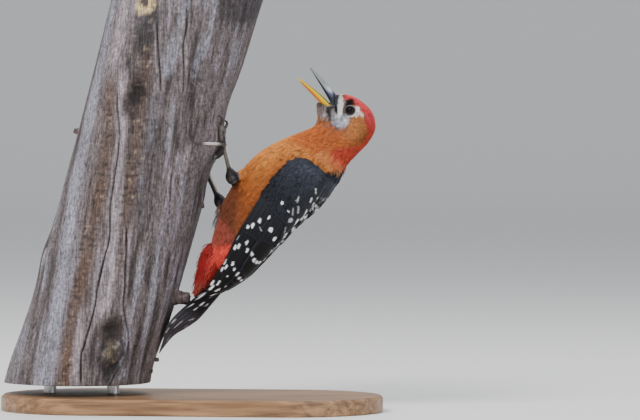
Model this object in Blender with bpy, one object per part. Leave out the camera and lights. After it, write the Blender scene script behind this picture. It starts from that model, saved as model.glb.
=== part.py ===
"""A male rufous-bellied woodpecker, life size, clinging to a cut length of dead trunk on a plain stand.

Metres, +Z up. The bird's left side faces -Y, and it climbs on the +X side of the trunk.
The origin is the middle of the underside of the stand's base.
The driving sizes below are in millimetres. Each solid reaches the tips of its feathers.
"""

import math

import bmesh
import bpy
import numpy as np
from mathutils import Vector

MM = 0.001
GAP = 0.3  # between neighbouring solids
LEFT, RIGHT = 1, -1  # a side's sign: left is -Y

# ---- the stand and the cut length of trunk --------------------------------------------------------
BASE_LENGTH, BASE_WIDTH, BASE_HEIGHT, BASE_BEVEL = 240.0, 116.0, 10.0, 1.6
ROD_RADIUS = 4.0
ROD_SPACING = 40.0
PERCH_BOTTOM, PERCH_TOP = 17.0, 262.0
PERCH_FOOT_X = -74.6  # where the trunk's axis would meet the floor
PERCH_SLOPE = 0.28  # how far the axis runs along X for each unit of height
PERCH_RADIUS = 43.0
PERCH_FLARE = 3.0  # added at the top, where a fork begins
# waves round the trunk: (count round, size, phase, turn per millimetre of height)
PERCH_WAVES = ((2, 0.9, 0.6, 0.004), (3, 0.6, 2.1, -0.006), (5, 0.4, 4.0, 0.003))
# knots (out) and hollows (in): angle from +X towards -Y, height, spread round and along, size
PERCH_KNOTS = (
    (62.0, 38.0, 9.0, 9.0, 3.4),
    (67.0, 52.0, 10.0, 7.0, -1.2),
    (0.0, 30.0, 40.0, 18.0, -3.2),
    (100.0, 198.0, 9.0, 10.0, -2.2),
    (104.0, 214.0, 14.0, 6.0, 1.2),
    (-4.0, 166.0, 26.0, 7.0, 2.0),
    (0.0, 190.0, 30.0, 16.0, -2.0),
    (0.0, 145.0, 26.0, 9.0, -1.4),
    (170.0, 98.0, 22.0, 12.0, 1.6),
    (178.0, 24.0, 36.0, 26.0, 3.0),
    (8.0, 32.0, 14.0, 5.0, 1.8),
    (-110.0, 150.0, 14.0, 14.0, 2.0),
    (-60.0, 90.0, 12.0, 12.0, 1.6),
)
STUB_HEIGHT, STUB_LENGTH, STUB_RADIUS, STUB_Y = 70.0, 9.3, 3.9, -1.0
PERCH_LEAN = math.atan(PERCH_SLOPE)

# ---- the bird -------------------------------------------------------------------------------------
# Sections of the body from the wing tips up to the bill, each across the body's own axis:
# belly x, z; back x, z; half width; how far the widest place lies towards the back, as a share;
# how much the belly side is pinched in.
BODY = (
    (-4.8, 71.5, 9.8, 66.8, 9.0, 0.10, 0.0),  # 0 tips of the primaries
    (2.2, 83.0, 19.9, 74.0, 11.5, 0.10, 0.0),  # 1 tips of the tertials
    (8.8, 96.0, 27.5, 79.0, 13.5, 0.10, 0.0),  # 2 root of the tail
    (13.7, 109.7, 35.6, 84.8, 15.5, 0.05, 0.0),  # 3 vent
    (17.4, 124.0, 45.0, 93.6, 18.0, 0.0, 0.0),  # 4 belly
    (23.6, 136.5, 55.2, 103.2, 19.8, 0.0, 0.0),  # 5 legs
    (33.7, 152.2, 68.0, 115.6, 21.0, 0.0, 0.0),  # 6 lower breast
    (45.7, 163.0, 80.4, 126.4, 21.4, 0.0, 0.0),  # 7 breast
    (58.9, 169.7, 91.8, 141.4, 20.2, 0.0, 0.0),  # 8 shoulders
    (69.9, 174.0, 96.9, 151.9, 16.6, 0.05, 0.05),  # 9 root of the neck
    (76.9, 177.2, 103.2, 159.2, 14.0, 0.10, 0.15),  # 10 neck
    (79.0, 181.4, 110.5, 166.8, 12.9, 0.15, 0.25),  # 11 throat and nape
    (78.8, 185.2, 115.0, 175.6, 12.6, 0.20, 0.35),  # 12 ear coverts
    (78.4, 188.6, 113.4, 185.0, 12.6, 0.28, 0.45),  # 13 behind the eye
    (78.5, 190.8, 107.3, 191.8, 11.4, 0.32, 0.50),  # 14 eye and chin
    (79.4, 192.0, 100.0, 196.0, 8.8, 0.28, 0.45),  # 15 brow
    (80.8, 192.4, 92.4, 197.2, 4.9, 0.10, 0.30),  # 16 root of the bill
)
BODY_SIDES = 24
TORSO_ROOT = 1.9  # the torso rounds off here, under the folded wings
TORSO_ROUND = 1.1  # over this much of the section count
NECK_CUT, HEAD_CUT = 8.55, 10.55  # sections where the neck is parted from torso and head

EYE_CENTRE = (100.6, 8.5, 187.7)
EYE_RADIUS = 3.5
GAPE = (90.4, 187.2)  # the corner of the open mouth, x and z
CULMEN_ROOT, CHIN_ROOT = (90.6, 197.6), (79.6, 191.9)  # where the feathers begin, above and below the bill
# The two halves of the bill, each from its root to its tip: the ridge's and the cutting edge's x and z.
# The bow lifts the middle of the ridge and of the edge towards the crown.
BILL_UPPER = {"ridge": (74.9, 213.9), "edge": (74.4, 213.0), "width": (3.9, 0.7), "bow": (0.3, 0.3), "from_gape": 0.5}
BILL_LOWER = {"ridge": (66.6, 206.2), "edge": (66.9, 207.0), "width": (3.7, 0.6), "bow": (0.0, 1.1), "from_gape": 1.2}

# The folded wing: section of the body; angle from the back's midline of its lower and upper edge.
WING_EDGES = (
    (-0.02, 90.0, 78.0),
    (0.5, 86.0, 46.0),
    (1.0, 85.5, 10.0),
    (2.0, 92.0, 3.0),
    (3.0, 92.0, 5.0),
    (4.0, 91.0, 12.0),
    (5.0, 94.0, 20.0),
    (6.0, 98.5, 27.0),
    (7.0, 105.5, 33.0),
    (7.5, 107.0, 37.0),
    (7.8, 103.0, 41.0),
    (8.0, 96.0, 48.0),
    (8.12, 88.0, 58.0),
    (8.18, 81.0, 66.0),
)
WING_STEPS, WING_ACROSS = 24, 7
WING_EDGE_THICKNESS = 0.7
WING_THICKNESS = 2.6  # added in the wing's middle at the shoulder

# The tail: lowest edge x, z; ridge x, z; half width.
TAIL = (
    (17.0, 91.0, 27.0, 84.0, 7.0),
    (9.5, 79.5, 19.5, 74.2, 9.0),
    (2.6, 69.8, 12.4, 65.8, 11.0),
    (-5.2, 62.6, 4.2, 56.6, 12.6),
    (-10.8, 56.8, -3.8, 51.0, 12.4),
    (-15.4, 49.4, -11.0, 46.6, 10.0),
    (-19.0, 42.2, -16.6, 40.4, 6.6),
    (-21.3, 36.2, -20.4, 35.2, 2.6),
)
TAIL_RINGS, TAIL_ACROSS = 13, 5
TAIL_ROOF = 1.7  # how sharply the outer feathers droop from the ridge
TAIL_THICKNESS, TAIL_EDGE_THICKNESS = 2.2, 0.8

# The red feathers under the tail: centre x, z; half depth; half width.
COVERTS = (
    (17.0, 107.0, 5.0, 6.0),
    (14.2, 101.5, 7.0, 8.6),
    (11.5, 94.5, 6.8, 9.0),
    (9.0, 86.5, 5.8, 8.4),
    (6.0, 78.5, 4.2, 6.6),
    (3.2, 71.8, 1.7, 3.0),
)

# Each leg: heel and root of the toes (x, outward y, z), and where the thigh meets the body.
LEGS = {
    LEFT: {"heel": (27.2, 13.0, 145.8), "knee": (40.0, 12.0, 147.0), "foot_angle": 6.0, "foot_z": 164.4},
    RIGHT: {"heel": (15.6, 14.5, 131.4), "knee": (29.0, 12.5, 128.0), "foot_angle": 38.0, "foot_z": 146.5},
}
FOOT_LIFT = 3.4  # root of the toes above the bark
HEEL_RADIUS, SHANK_RADIUS = 3.5, 1.35
THIGH_RADII = (2.5, 4.4, 7.0)
# Toes: number; spread from straight up the trunk towards the outside; length; radius; claw length.
TOES = (
    (1, 152.0, 7.5, 1.0, 4.5),
    (2, -10.0, 12.5, 1.15, 6.5),
    (3, 21.0, 15.5, 1.25, 7.5),
    (4, 80.0, 15.5, 1.2, 7.5),
)
CLAW_TIP_RADIUS = 0.27


# ---- numbers --------------------------------------------------------------------------------------
def spline(rows, place):
    """Smooth values between the rows at a fractional row number (a Catmull-Rom spline)."""
    table = np.array(rows, float)
    last = len(table) - 1
    i = min(max(int(math.floor(place)), 0), last - 1)
    t = place - i
    before, here, there, after = (table[min(max(i + k, 0), last)] for k in (-1, 0, 1, 2))
    return 0.5 * (
        2 * here
        + (there - before) * t
        + (2 * before - 5 * here + 4 * there - after) * t**2
        + (3 * here - before - 3 * there + after) * t**3
    )


def interpolate(table, place):
    """Straight-line values of the table's other columns at a place in its first column."""
    columns = np.array(table, float).T
    return [float(np.interp(place, columns[0], column)) for column in columns[1:]]


# ---- meshes ---------------------------------------------------------------------------------------
def clear_scene():
    for obj in list(bpy.data.objects):
        bpy.data.objects.remove(obj)


def make_material(name, colour, roughness, metallic=0.0):
    material = bpy.data.materials.new(name)
    material.use_nodes = True
    shader = material.node_tree.nodes["Principled BSDF"]
    shader.inputs["Base Color"].default_value = (*colour, 1.0)
    shader.inputs["Roughness"].default_value = roughness
    shader.inputs["Metallic"].default_value = metallic
    return material


def add_object(name, points_mm, faces, material=None):
    """A closed mesh from points in millimetres, its faces turned outwards."""
    mesh = bpy.data.meshes.new(name)
    mesh.from_pydata([Vector(p) * MM for p in points_mm], [], faces)
    shape = bmesh.new()
    shape.from_mesh(mesh)
    bmesh.ops.recalc_face_normals(shape, faces=shape.faces)
    shape.to_mesh(mesh)
    shape.free()
    mesh.shade_smooth()
    mesh.set_sharp_from_angle(angle=math.radians(40))
    if material:
        mesh.materials.append(material)
    obj = bpy.data.objects.new(name, mesh)
    bpy.context.scene.collection.objects.link(obj)
    return obj


def loft(name, rings, material=None):
    """A skin over rings of points, all with the same count, closed by a flat face at each end."""
    count = len(rings[0])
    points = [p for ring in rings for p in ring]
    faces = [tuple(range(count)), tuple(range(len(points) - count, len(points)))]
    for i in range(len(rings) - 1):
        for k in range(count):
            a, b = i * count + k, i * count + (k + 1) % count
            faces.append((a, b, b + count, a + count))
    return add_object(name, points, faces, material)


def tube(name, path, radii, sides, material=None):
    """A round tube along a path of points, with a radius at each point."""
    path = [Vector(p) for p in path]
    rings = []
    for i, centre in enumerate(path):
        along = (path[min(i + 1, len(path) - 1)] - path[max(i - 1, 0)]).normalized()
        across = along.cross(Vector((0.3, 1.0, 0.2))).normalized()
        third = along.cross(across)
        turns = [2 * math.pi * k / sides for k in range(sides)]
        rings.append([centre + (across * math.cos(a) + third * math.sin(a)) * radii[i] for a in turns])
    return loft(name, rings, material)


def ball(name, centre, radius, segments, rings, material=None):
    """A round ball with its poles along Y."""
    circles = []
    for i in range(1, rings):
        tilt = math.pi * i / rings
        y = centre[1] - radius * math.cos(tilt)
        turns = [2 * math.pi * k / segments for k in range(segments)]
        reach = radius * math.sin(tilt)
        circles.append([(centre[0] + reach * math.cos(a), y, centre[2] + reach * math.sin(a)) for a in turns])
    return loft(name, circles, material)


def clearance_of(obj):
    """A copy that stands off the solid all round by the gap, to cut its neighbours with."""
    copy = obj.copy()
    copy.data = obj.data.copy()
    copy.name = f"{obj.name}_clearance"
    copy.modifiers.clear()
    bpy.context.scene.collection.objects.link(copy)
    shape = bmesh.new()
    shape.from_mesh(copy.data)
    shape.normal_update()
    moves = [v.normal * v.calc_shell_factor() * GAP * MM for v in shape.verts]
    for vert, move in zip(shape.verts, moves):
        vert.co += move
    shape.to_mesh(copy.data)
    shape.free()
    return as_cutter(copy)


def as_cutter(obj):
    obj.hide_render = True
    obj.display_type = "WIRE"
    return obj


def combine(obj, other, operation):
    """Joins or cuts obj with a helper, which then stays out of the model."""
    modifier = obj.modifiers.new(f"{operation.title()} {other.name}", "BOOLEAN")
    modifier.operation = operation
    modifier.object = as_cutter(other)
    return obj


# ---- the bird's body ------------------------------------------------------------------------------
def body_frame(place):
    """Centre, direction to the back, half depth, half width, shift and pinch of the body's section."""
    belly_x, belly_z, back_x, back_z, half_width, shift, pinch = spline(BODY, place)
    belly, back = Vector((belly_x, 0, belly_z)), Vector((back_x, 0, back_z))
    return (belly + back) / 2, (back - belly).normalized(), (back - belly).length / 2, half_width, shift, pinch


def body_point(place, angle, lift=0.0, scale=1.0):
    """A point of the body's section, at an angle from the back towards the left, lifted off the skin."""
    centre, to_back, half_depth, half_width, shift, pinch = body_frame(place)
    half_width *= 1 - pinch * (0.5 - 0.5 * math.cos(angle)) ** 2
    rise = math.cos(angle) + shift * math.sin(angle) ** 2
    flat = Vector((math.cos(angle) * half_width, math.sin(angle) * half_depth, 0)).normalized() * lift
    depth = half_depth * scale * rise + flat.x
    width = half_width * scale * math.sin(angle) + flat.y
    return centre + to_back * depth - Vector((0, width, 0))


def body_places():
    """Places of the body's rings: closer together where the torso rounds off."""
    rounded = [TORSO_ROOT + TORSO_ROUND * (1 - math.cos(a)) for a in np.radians((8, 28, 48, 68, 90))]
    plain = np.arange(math.ceil(rounded[-1] * 2 + 0.5) / 2, len(BODY) - 0.99, 0.5)
    return rounded + [float(p) for p in plain]


def body_whole(name):
    rings = []
    for place in body_places():
        inward = max(0.0, 1 - (place - TORSO_ROOT) / TORSO_ROUND)
        scale = math.sqrt(1 - inward**2)
        turns = [2 * math.pi * k / BODY_SIDES for k in range(BODY_SIDES)]
        rings.append([body_point(place, a, 0.0, scale) for a in turns])
    return loft(name, rings)


def cut_plane(place):
    """A point and a normal, towards the head, of the body's section."""
    centre, to_back, *_ = body_frame(place)
    normal = to_back.cross(Vector((0, 1, 0)))
    ahead = body_frame(place + 0.1)[0] - centre
    return centre, normal if normal.dot(ahead) > 0 else -normal


def part_of_body(name, material, low=None, high=None):
    """The stretch of the whole body between two sections, parted from the rest by a thin cut."""
    obj = body_whole(name)
    shape = bmesh.new()
    shape.from_mesh(obj.data)
    for place, sign in ((low, -1), (high, 1)):
        if place is None:
            continue
        centre, normal = cut_plane(place)
        bmesh.ops.bisect_plane(
            shape,
            geom=shape.verts[:] + shape.edges[:] + shape.faces[:],
            plane_co=(centre - normal * sign * GAP / 2) * MM,
            plane_no=normal * sign,
            clear_outer=True,
        )
        bmesh.ops.holes_fill(shape, edges=[e for e in shape.edges if e.is_boundary])
    bmesh.ops.recalc_face_normals(shape, faces=shape.faces)
    shape.to_mesh(obj.data)
    shape.free()
    obj.data.materials.append(material)
    return obj


def mouth_notch():
    """The space in front of the feathers' edge, where the bill springs from the face."""
    ahead = Vector((-30.0, 0, 30.0))
    corner, culmen, chin = (Vector((p[0], 0, p[1])) for p in (GAPE, CULMEN_ROOT, CHIN_ROOT))
    culmen += (culmen - corner) * 0.4
    chin += (chin - corner) * 0.4
    outline = [corner, chin, chin + ahead, culmen + ahead, culmen]
    side = Vector((0, 15.0, 0))
    return loft("mouth_notch", [[p + side * sign for p in outline] for sign in (-1, 1)])


def bill_half(name, shape, feather_root, keel, material):
    """One half of the bill: a cutting edge from the gape, and a ridge from the feathers' edge."""
    gape, ridge_root = (Vector((p[0], 0, p[1])) for p in (GAPE, feather_root))
    edge_tip, ridge_tip = (Vector((shape[key][0], 0, shape[key][1])) for key in ("edge", "ridge"))
    along = (ridge_root - gape).normalized()
    off = Vector((-along.z, 0, along.x)) * GAP * keel
    edge_root = gape + off + along * shape["from_gape"]
    ridge_root += off - along * 0.5
    to_crown = Vector((0.64, 0, 0.77))
    wide, narrow = shape["width"]
    rings = []
    for step in range(9):
        t = step / 8
        ridge_bow, edge_bow = (to_crown * bow * 4 * t * (1 - t) for bow in shape["bow"])
        edge = edge_root.lerp(edge_tip, t) + edge_bow
        ridge = ridge_root.lerp(ridge_tip, t) + ridge_bow
        width = wide * (1 - t) ** 0.85 + narrow
        ring = []
        for angle in np.radians((-90, -60, -33, -12, 12, 33, 60, 90)):
            rise = math.cos(angle) ** (1.0 if keel > 0 else 0.7)
            ring.append(edge.lerp(ridge, rise) + Vector((0, width * math.sin(angle), 0)))
        rings.append(ring)
    return loft(name, rings, material)


def make_eye(side, material):
    x, y, z = EYE_CENTRE
    name = "eye_left" if side == LEFT else "eye_right"
    return ball(name, (x, -side * y, z), EYE_RADIUS, 16, 10, material)


# ---- wings, tail and coverts ----------------------------------------------------------------------
def make_wing(name, side, material):
    """The folded wing: a shell over the body, thickest in its middle, between its two edges."""
    outer, inner = [], []
    lowest, highest = WING_EDGES[0][0], WING_EDGES[-1][0]
    for step in range(WING_STEPS + 1):
        even = step / WING_STEPS
        place = lowest + (highest - lowest) * (1 - (1 - even) ** 1.35)
        lower, upper = interpolate(WING_EDGES, place)
        fullness = WING_THICKNESS * min(1.0, 0.35 + place / 6) * min(1.0, (highest - place) * 2.2 + 0.25)
        for k in range(WING_ACROSS + 1):
            across = k / WING_ACROSS
            angle = side * math.radians(lower + (upper - lower) * across)
            thick = WING_EDGE_THICKNESS + fullness * math.sqrt(4 * across * (1 - across))
            inner.append(body_point(place, angle, GAP))
            outer.append(body_point(place, angle, GAP + thick))
    row = WING_ACROSS + 1
    count = len(outer)
    faces = []
    for i in range(WING_STEPS):
        for k in range(WING_ACROSS):
            a = i * row + k
            faces.append((a, a + 1, a + row + 1, a + row))
            faces.append((count + a, count + a + row, count + a + row + 1, count + a + 1))
    rim = [k for k in range(row)]
    rim += [i * row + WING_ACROSS for i in range(1, WING_STEPS + 1)]
    rim += [WING_STEPS * row + k for k in range(WING_ACROSS - 1, -1, -1)]
    rim += [i * row for i in range(WING_STEPS - 1, 0, -1)]
    for a, b in zip(rim, rim[1:] + rim[:1]):
        faces.append((a, b, b + count, a + count))
    return add_object(name, outer + inner, faces, material)


def make_tail(name, material):
    """The stacked tail feathers: a roof with its ridge on the back and its outer feathers drooping."""
    rings = []
    last = len(TAIL) - 1
    for step in range(TAIL_RINGS + 1):
        low_x, low_z, ridge_x, ridge_z, half_width = spline(TAIL, last * step / TAIL_RINGS)
        ridge, low = Vector((ridge_x, 0, ridge_z)), Vector((low_x, 0, low_z))
        down = (low - ridge).normalized()
        droop = (low - ridge).length - TAIL_EDGE_THICKNESS
        upper, under = [], []
        for k in range(-TAIL_ACROSS, TAIL_ACROSS + 1):
            u = k / TAIL_ACROSS
            depth = droop * abs(u) ** TAIL_ROOF
            thick = TAIL_THICKNESS + (TAIL_EDGE_THICKNESS - TAIL_THICKNESS) * abs(u)
            thick *= min(1.0, half_width / 6)
            side = Vector((0, half_width * u, 0))
            upper.append(ridge + down * depth + side)
            under.append(ridge + down * (depth + thick) + side)
        rings.append(upper + under[::-1])
    return loft(name, rings, material)


def make_coverts(name, material):
    rings = []
    last = len(COVERTS) - 1
    for step in range(13):
        x, z, half_depth, half_width = spline(COVERTS, last * step / 12)
        ahead, behind = (spline(COVERTS, last * min(max(step + k, 0), 12) / 12) for k in (1, -1))
        along = Vector((ahead[0] - behind[0], 0, ahead[1] - behind[1])).normalized()
        across = along.cross(Vector((0, 1, 0)))
        turns = [2 * math.pi * k / 14 for k in range(14)]
        rings.append(
            [
                Vector((x, 0, z)) + across * half_depth * math.cos(a) + Vector((0, half_width * math.sin(a), 0))
                for a in turns
            ]
        )
    return loft(name, rings, material)


# ---- the trunk, and the feet on it ----------------------------------------------------------------
def perch_radius(angle, height):
    """The trunk's radius at an angle from +X towards -Y, at a height."""
    share = (height - PERCH_BOTTOM) / (PERCH_TOP - PERCH_BOTTOM)
    waves = sum(size * math.cos(n * angle + phase + turn * height) for n, size, phase, turn in PERCH_WAVES)
    knots = 0.0
    for knot_angle, knot_height, round_spread, along_spread, size in PERCH_KNOTS:
        turn = math.degrees(angle) - knot_angle
        turn = (turn + 180) % 360 - 180
        knots += size * math.exp(-((turn / round_spread) ** 2) - ((height - knot_height) / along_spread) ** 2)
    return PERCH_RADIUS + PERCH_FLARE * share**4 + waves + knots


def perch_point(angle, height, lift=0.0):
    """A point of the trunk's surface, lifted off the bark."""
    radius = perch_radius(angle, height)
    x = PERCH_FOOT_X + PERCH_SLOPE * height + radius * math.cos(angle) / math.cos(PERCH_LEAN)
    outward = Vector(
        (math.cos(angle) * math.cos(PERCH_LEAN), -math.sin(angle), -math.cos(angle) * math.sin(PERCH_LEAN))
    )
    return Vector((x, -radius * math.sin(angle), height)) + outward * lift


def make_perch(material):
    sides, rows = 36, 21
    rings = []
    for i in range(rows):
        height = PERCH_BOTTOM + (PERCH_TOP - PERCH_BOTTOM) * i / (rows - 1)
        rings.append([perch_point(2 * math.pi * k / sides, height) for k in range(sides)])
    perch = loft("perch", rings, material)
    surface = perch_point(0.0, STUB_HEIGHT)
    out = Vector((1.0, 0.0, -0.06)).normalized()
    start = Vector((surface.x, STUB_Y, STUB_HEIGHT)) - out * 8.0
    path = [start + out * (8.0 + STUB_LENGTH) * t for t in (0, 0.4, 0.7, 0.9, 1)]
    radii = [STUB_RADIUS * r for r in (1.5, 1.3, 1.0, 0.85, 0.6)]
    return combine(perch, tube("stub", path, radii, 12), "UNION")


def toe_path(side, spread, length, lifts):
    """Points over the bark from the root of the toes, straight along the trunk's skin."""
    leg = LEGS[side]
    start = math.radians(leg["foot_angle"])
    points = []
    for i, lift in enumerate(lifts):
        run = length * i / (len(lifts) - 1)
        angle = start + run * math.sin(math.radians(spread)) / PERCH_RADIUS
        height = leg["foot_z"] + run * math.cos(math.radians(spread))
        points.append(perch_point(side * angle, height, lift))
    return points


def claw_path(side, spread, toe_length, length, radius):
    """An arc from the toe's end, up a little and then down into the bark."""
    steps = 5
    leg = LEGS[side]
    start = math.radians(leg["foot_angle"])
    points, radii = [], []
    for i in range(steps + 1):
        t = i / steps
        run = toe_length + GAP + length * (0.9 * math.sin(t * math.pi / 2))
        angle = start + run * math.sin(math.radians(spread)) / PERCH_RADIUS
        height = leg["foot_z"] + run * math.cos(math.radians(spread))
        lift = radius + 0.75 + 1.1 * math.sin(math.pi * min(t * 1.15, 1.0)) - (radius + 0.1) * t**2
        points.append(perch_point(side * angle, height, lift))
        radii.append(radius * 0.85 * (1 - t) + CLAW_TIP_RADIUS * t)
    return points, radii


def make_leg(side, thigh_material, leg_material, claw_material, clearance):
    end = "left" if side == LEFT else "right"
    leg = LEGS[side]
    heel = Vector((leg["heel"][0], -side * leg["heel"][1], leg["heel"][2]))
    knee = Vector((leg["knee"][0], -side * leg["knee"][1], leg["knee"][2]))
    foot = perch_point(side * math.radians(leg["foot_angle"]), leg["foot_z"], FOOT_LIFT)

    start = heel + (knee - heel).normalized() * (HEEL_RADIUS * 1.15 + GAP)
    middle = start.lerp(knee, 0.45)
    thigh = tube(f"thigh_{end}", [start, middle, knee], THIGH_RADII, 12, thigh_material)
    combine(thigh, clearance, "DIFFERENCE")

    shank = [heel.lerp(foot, t) for t in (-0.14, -0.07, 0.05, 0.2, 0.42, 0.85, 1.0, 1.08)]
    radii = [HEEL_RADIUS * r for r in (0.55, 0.95, 1.0, 0.62)] + [SHANK_RADIUS * r for r in (1, 1.05, 1.5, 1.1)]
    whole = tube(f"leg_{end}", shank, radii, 10, leg_material)
    for number, spread, length, radius, claw_length in TOES:
        lifts = [FOOT_LIFT, FOOT_LIFT * 0.8, radius + 0.8, radius + 0.5, radius + 0.5, radius + 0.7, radius + 0.75]
        widths = [radius * r for r in (1.15, 1.1, 1.0, 1.08, 0.95, 1.08, 0.85)]
        toe = tube(f"toe_{end}_{number}", toe_path(side, spread, length, lifts), widths, 8)
        combine(whole, toe, "UNION")
        path, claw_radii = claw_path(side, spread, length, claw_length, radius)
        tube(f"claw_{end}_{number}", path, claw_radii, 7, claw_material)


# ---- the stand ------------------------------------------------------------------------------------
def make_stand(base_material, rod_material):
    half_run = (BASE_LENGTH - BASE_WIDTH) / 2
    levels = ((0, BASE_BEVEL / 2), (BASE_BEVEL / 2, 0), (BASE_HEIGHT - BASE_BEVEL, 0), (BASE_HEIGHT, BASE_BEVEL))
    rings = []
    for height, inset in levels:
        reach = BASE_WIDTH / 2 - inset
        ring = []
        for end, first in ((1, -90), (-1, 90)):
            for angle in np.radians(first + np.arange(0, 181, 15)):
                ring.append((end * half_run + reach * math.cos(angle), reach * math.sin(angle), height))
        rings.append(ring)
    loft("stand_base", rings, base_material)
    middle = PERCH_FOOT_X + PERCH_SLOPE * PERCH_BOTTOM
    for name, shift in (("stand_rod_outer", -0.5), ("stand_rod_inner", 0.5)):
        x = middle + shift * ROD_SPACING
        ends = [(x, 0, BASE_HEIGHT + GAP), (x, 0, PERCH_BOTTOM - GAP)]
        tube(name, ends, [ROD_RADIUS] * 2, 24, rod_material)


def main():
    clear_scene()
    rufous = make_material("rufous_feathers", (0.62, 0.22, 0.06), 0.75)
    crown = make_material("crown_feathers", (0.55, 0.05, 0.03), 0.7)
    crimson = make_material("red_coverts", (0.60, 0.03, 0.02), 0.75)
    pied = make_material("pied_feathers", (0.02, 0.022, 0.03), 0.45)
    horn = make_material("dark_horn", (0.12, 0.12, 0.13), 0.4)
    yellow = make_material("yellow_horn", (0.75, 0.45, 0.06), 0.4)
    eye = make_material("eye", (0.015, 0.008, 0.006), 0.05)
    scaly = make_material("leg_scales", (0.20, 0.19, 0.17), 0.6)
    wood = make_material("dead_wood", (0.30, 0.26, 0.24), 0.85)
    oak = make_material("stand_wood", (0.42, 0.30, 0.19), 0.5)
    steel = make_material("stand_steel", (0.55, 0.55, 0.56), 0.35, 1.0)

    body = as_cutter(body_whole("body_whole"))
    clearance = clearance_of(body)
    part_of_body("torso", rufous, high=NECK_CUT)
    part_of_body("neck", rufous, low=NECK_CUT, high=HEAD_CUT)
    head = part_of_body("head", crown, low=HEAD_CUT)
    combine(head, mouth_notch(), "DIFFERENCE")
    wings = []
    for side, label in ((LEFT, "left"), (RIGHT, "right")):
        combine(head, clearance_of(make_eye(side, eye)), "DIFFERENCE")
        wings.append(make_wing(f"wing_{label}", side, pied))
        make_leg(side, rufous, scaly, horn, clearance)
    bill_half("bill_upper", BILL_UPPER, CULMEN_ROOT, 1, horn)
    bill_half("bill_lower", BILL_LOWER, CHIN_ROOT, -1, yellow)
    coverts = make_coverts("undertail_coverts", crimson)
    tail = make_tail("tail", pied)
    combine(coverts, clearance, "DIFFERENCE")
    combine(coverts, clearance_of(tail), "DIFFERENCE")
    for cutter in (clearance, *(clearance_of(wing) for wing in wings)):
        combine(tail, cutter, "DIFFERENCE")
    make_perch(wood)
    make_stand(oak, steel)


main()
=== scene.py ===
import math

import bpy
import numpy as np
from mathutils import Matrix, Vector


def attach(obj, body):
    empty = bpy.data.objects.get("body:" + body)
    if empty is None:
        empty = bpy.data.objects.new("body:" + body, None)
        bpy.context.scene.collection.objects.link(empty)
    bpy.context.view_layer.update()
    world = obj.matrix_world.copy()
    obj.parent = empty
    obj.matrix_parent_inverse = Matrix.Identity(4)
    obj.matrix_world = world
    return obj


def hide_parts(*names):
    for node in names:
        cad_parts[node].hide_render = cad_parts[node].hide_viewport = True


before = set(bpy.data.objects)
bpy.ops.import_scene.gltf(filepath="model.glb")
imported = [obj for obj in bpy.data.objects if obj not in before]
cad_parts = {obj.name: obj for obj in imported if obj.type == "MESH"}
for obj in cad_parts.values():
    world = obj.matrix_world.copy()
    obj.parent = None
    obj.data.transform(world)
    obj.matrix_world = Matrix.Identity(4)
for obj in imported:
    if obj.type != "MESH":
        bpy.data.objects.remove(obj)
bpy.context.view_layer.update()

# Places and sizes are in millimetres until a mesh is made. -Y is the bird's left, +X its back.
mm = 0.001
gap = 0.3
left, right = 1, -1
sideName = {left: "left", right: "right"}
random = np.random.default_rng(7)


def srgb(red, green, blue):
    # a colour as seen on a screen, turned into the linear values a shader works in
    value = np.array((red, green, blue), float) / 255
    return np.where(value <= 0.04045, value / 12.92, ((value + 0.055) / 1.055) ** 2.4)


def smooth(x, low, high):
    # 0 below low, 1 above high, an S curve between
    t = np.clip((x - low) / (high - low), 0, 1)
    return t * t * (3 - 2 * t)


def mix(first, second, share):
    # share 0 keeps the first colour, 1 gives the second
    return first + (second - first) * np.asarray(share)[..., None]


def spline(rows, place):
    # Catmull-Rom: a cubic through the rows, read at fractional row numbers
    table = np.asarray(rows, float)
    last = len(table) - 1
    place = np.asarray(place, float)
    i = np.clip(np.floor(place).astype(int), 0, last - 1)
    t = (place - i)[..., None]
    before, here, there, after = (table[np.clip(i + k, 0, last)] for k in (-1, 0, 1, 2))
    cubic = 2 * here + (there - before) * t + (2 * before - 5 * here + 4 * there - after) * t**2
    return 0.5 * (cubic + (3 * here - before - 3 * there + after) * t**3)


def unit(vectors):
    # the same directions, each of length one
    return vectors / np.maximum(np.linalg.norm(vectors, axis=-1, keepdims=True), 1e-9)


def spoke(across, third, angle):
    # directions round the circle that two directions span
    return across * np.cos(angle)[..., None] + third * np.sin(angle)[..., None]


def noise(points, cell, seed):
    # value noise from -1 to 1: hashed corners of a cubic lattice, blended with an S curve
    q = np.asarray(points, float) / cell
    low = np.floor(q).astype(np.int64)
    f = q - low
    f = f * f * (3 - 2 * f)
    total = 0
    for corner in range(8):
        step = np.array((corner & 1, corner >> 1 & 1, corner >> 2))
        at = low + step
        key = at[..., 0] * 73856093 ^ at[..., 1] * 19349663 ^ at[..., 2] * 83492791 ^ seed * 2654435761
        key = (key ^ (key >> 13)) * 1274126177 & 0x7FFFFFFF
        weight = np.prod(np.where(step, f, 1 - f), axis=-1)
        total = total + weight * ((key >> 8 & 0xFFFF) / 32767.5 - 1)
    return total


def fractal(points, cell, seed, octaves=3):
    # octaves of noise, each half the size and half the strength of the one before
    return sum(noise(points, cell / 2**k, seed + k) / 2**k for k in range(octaves)) / (2 - 2 ** (1 - octaves))


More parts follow.
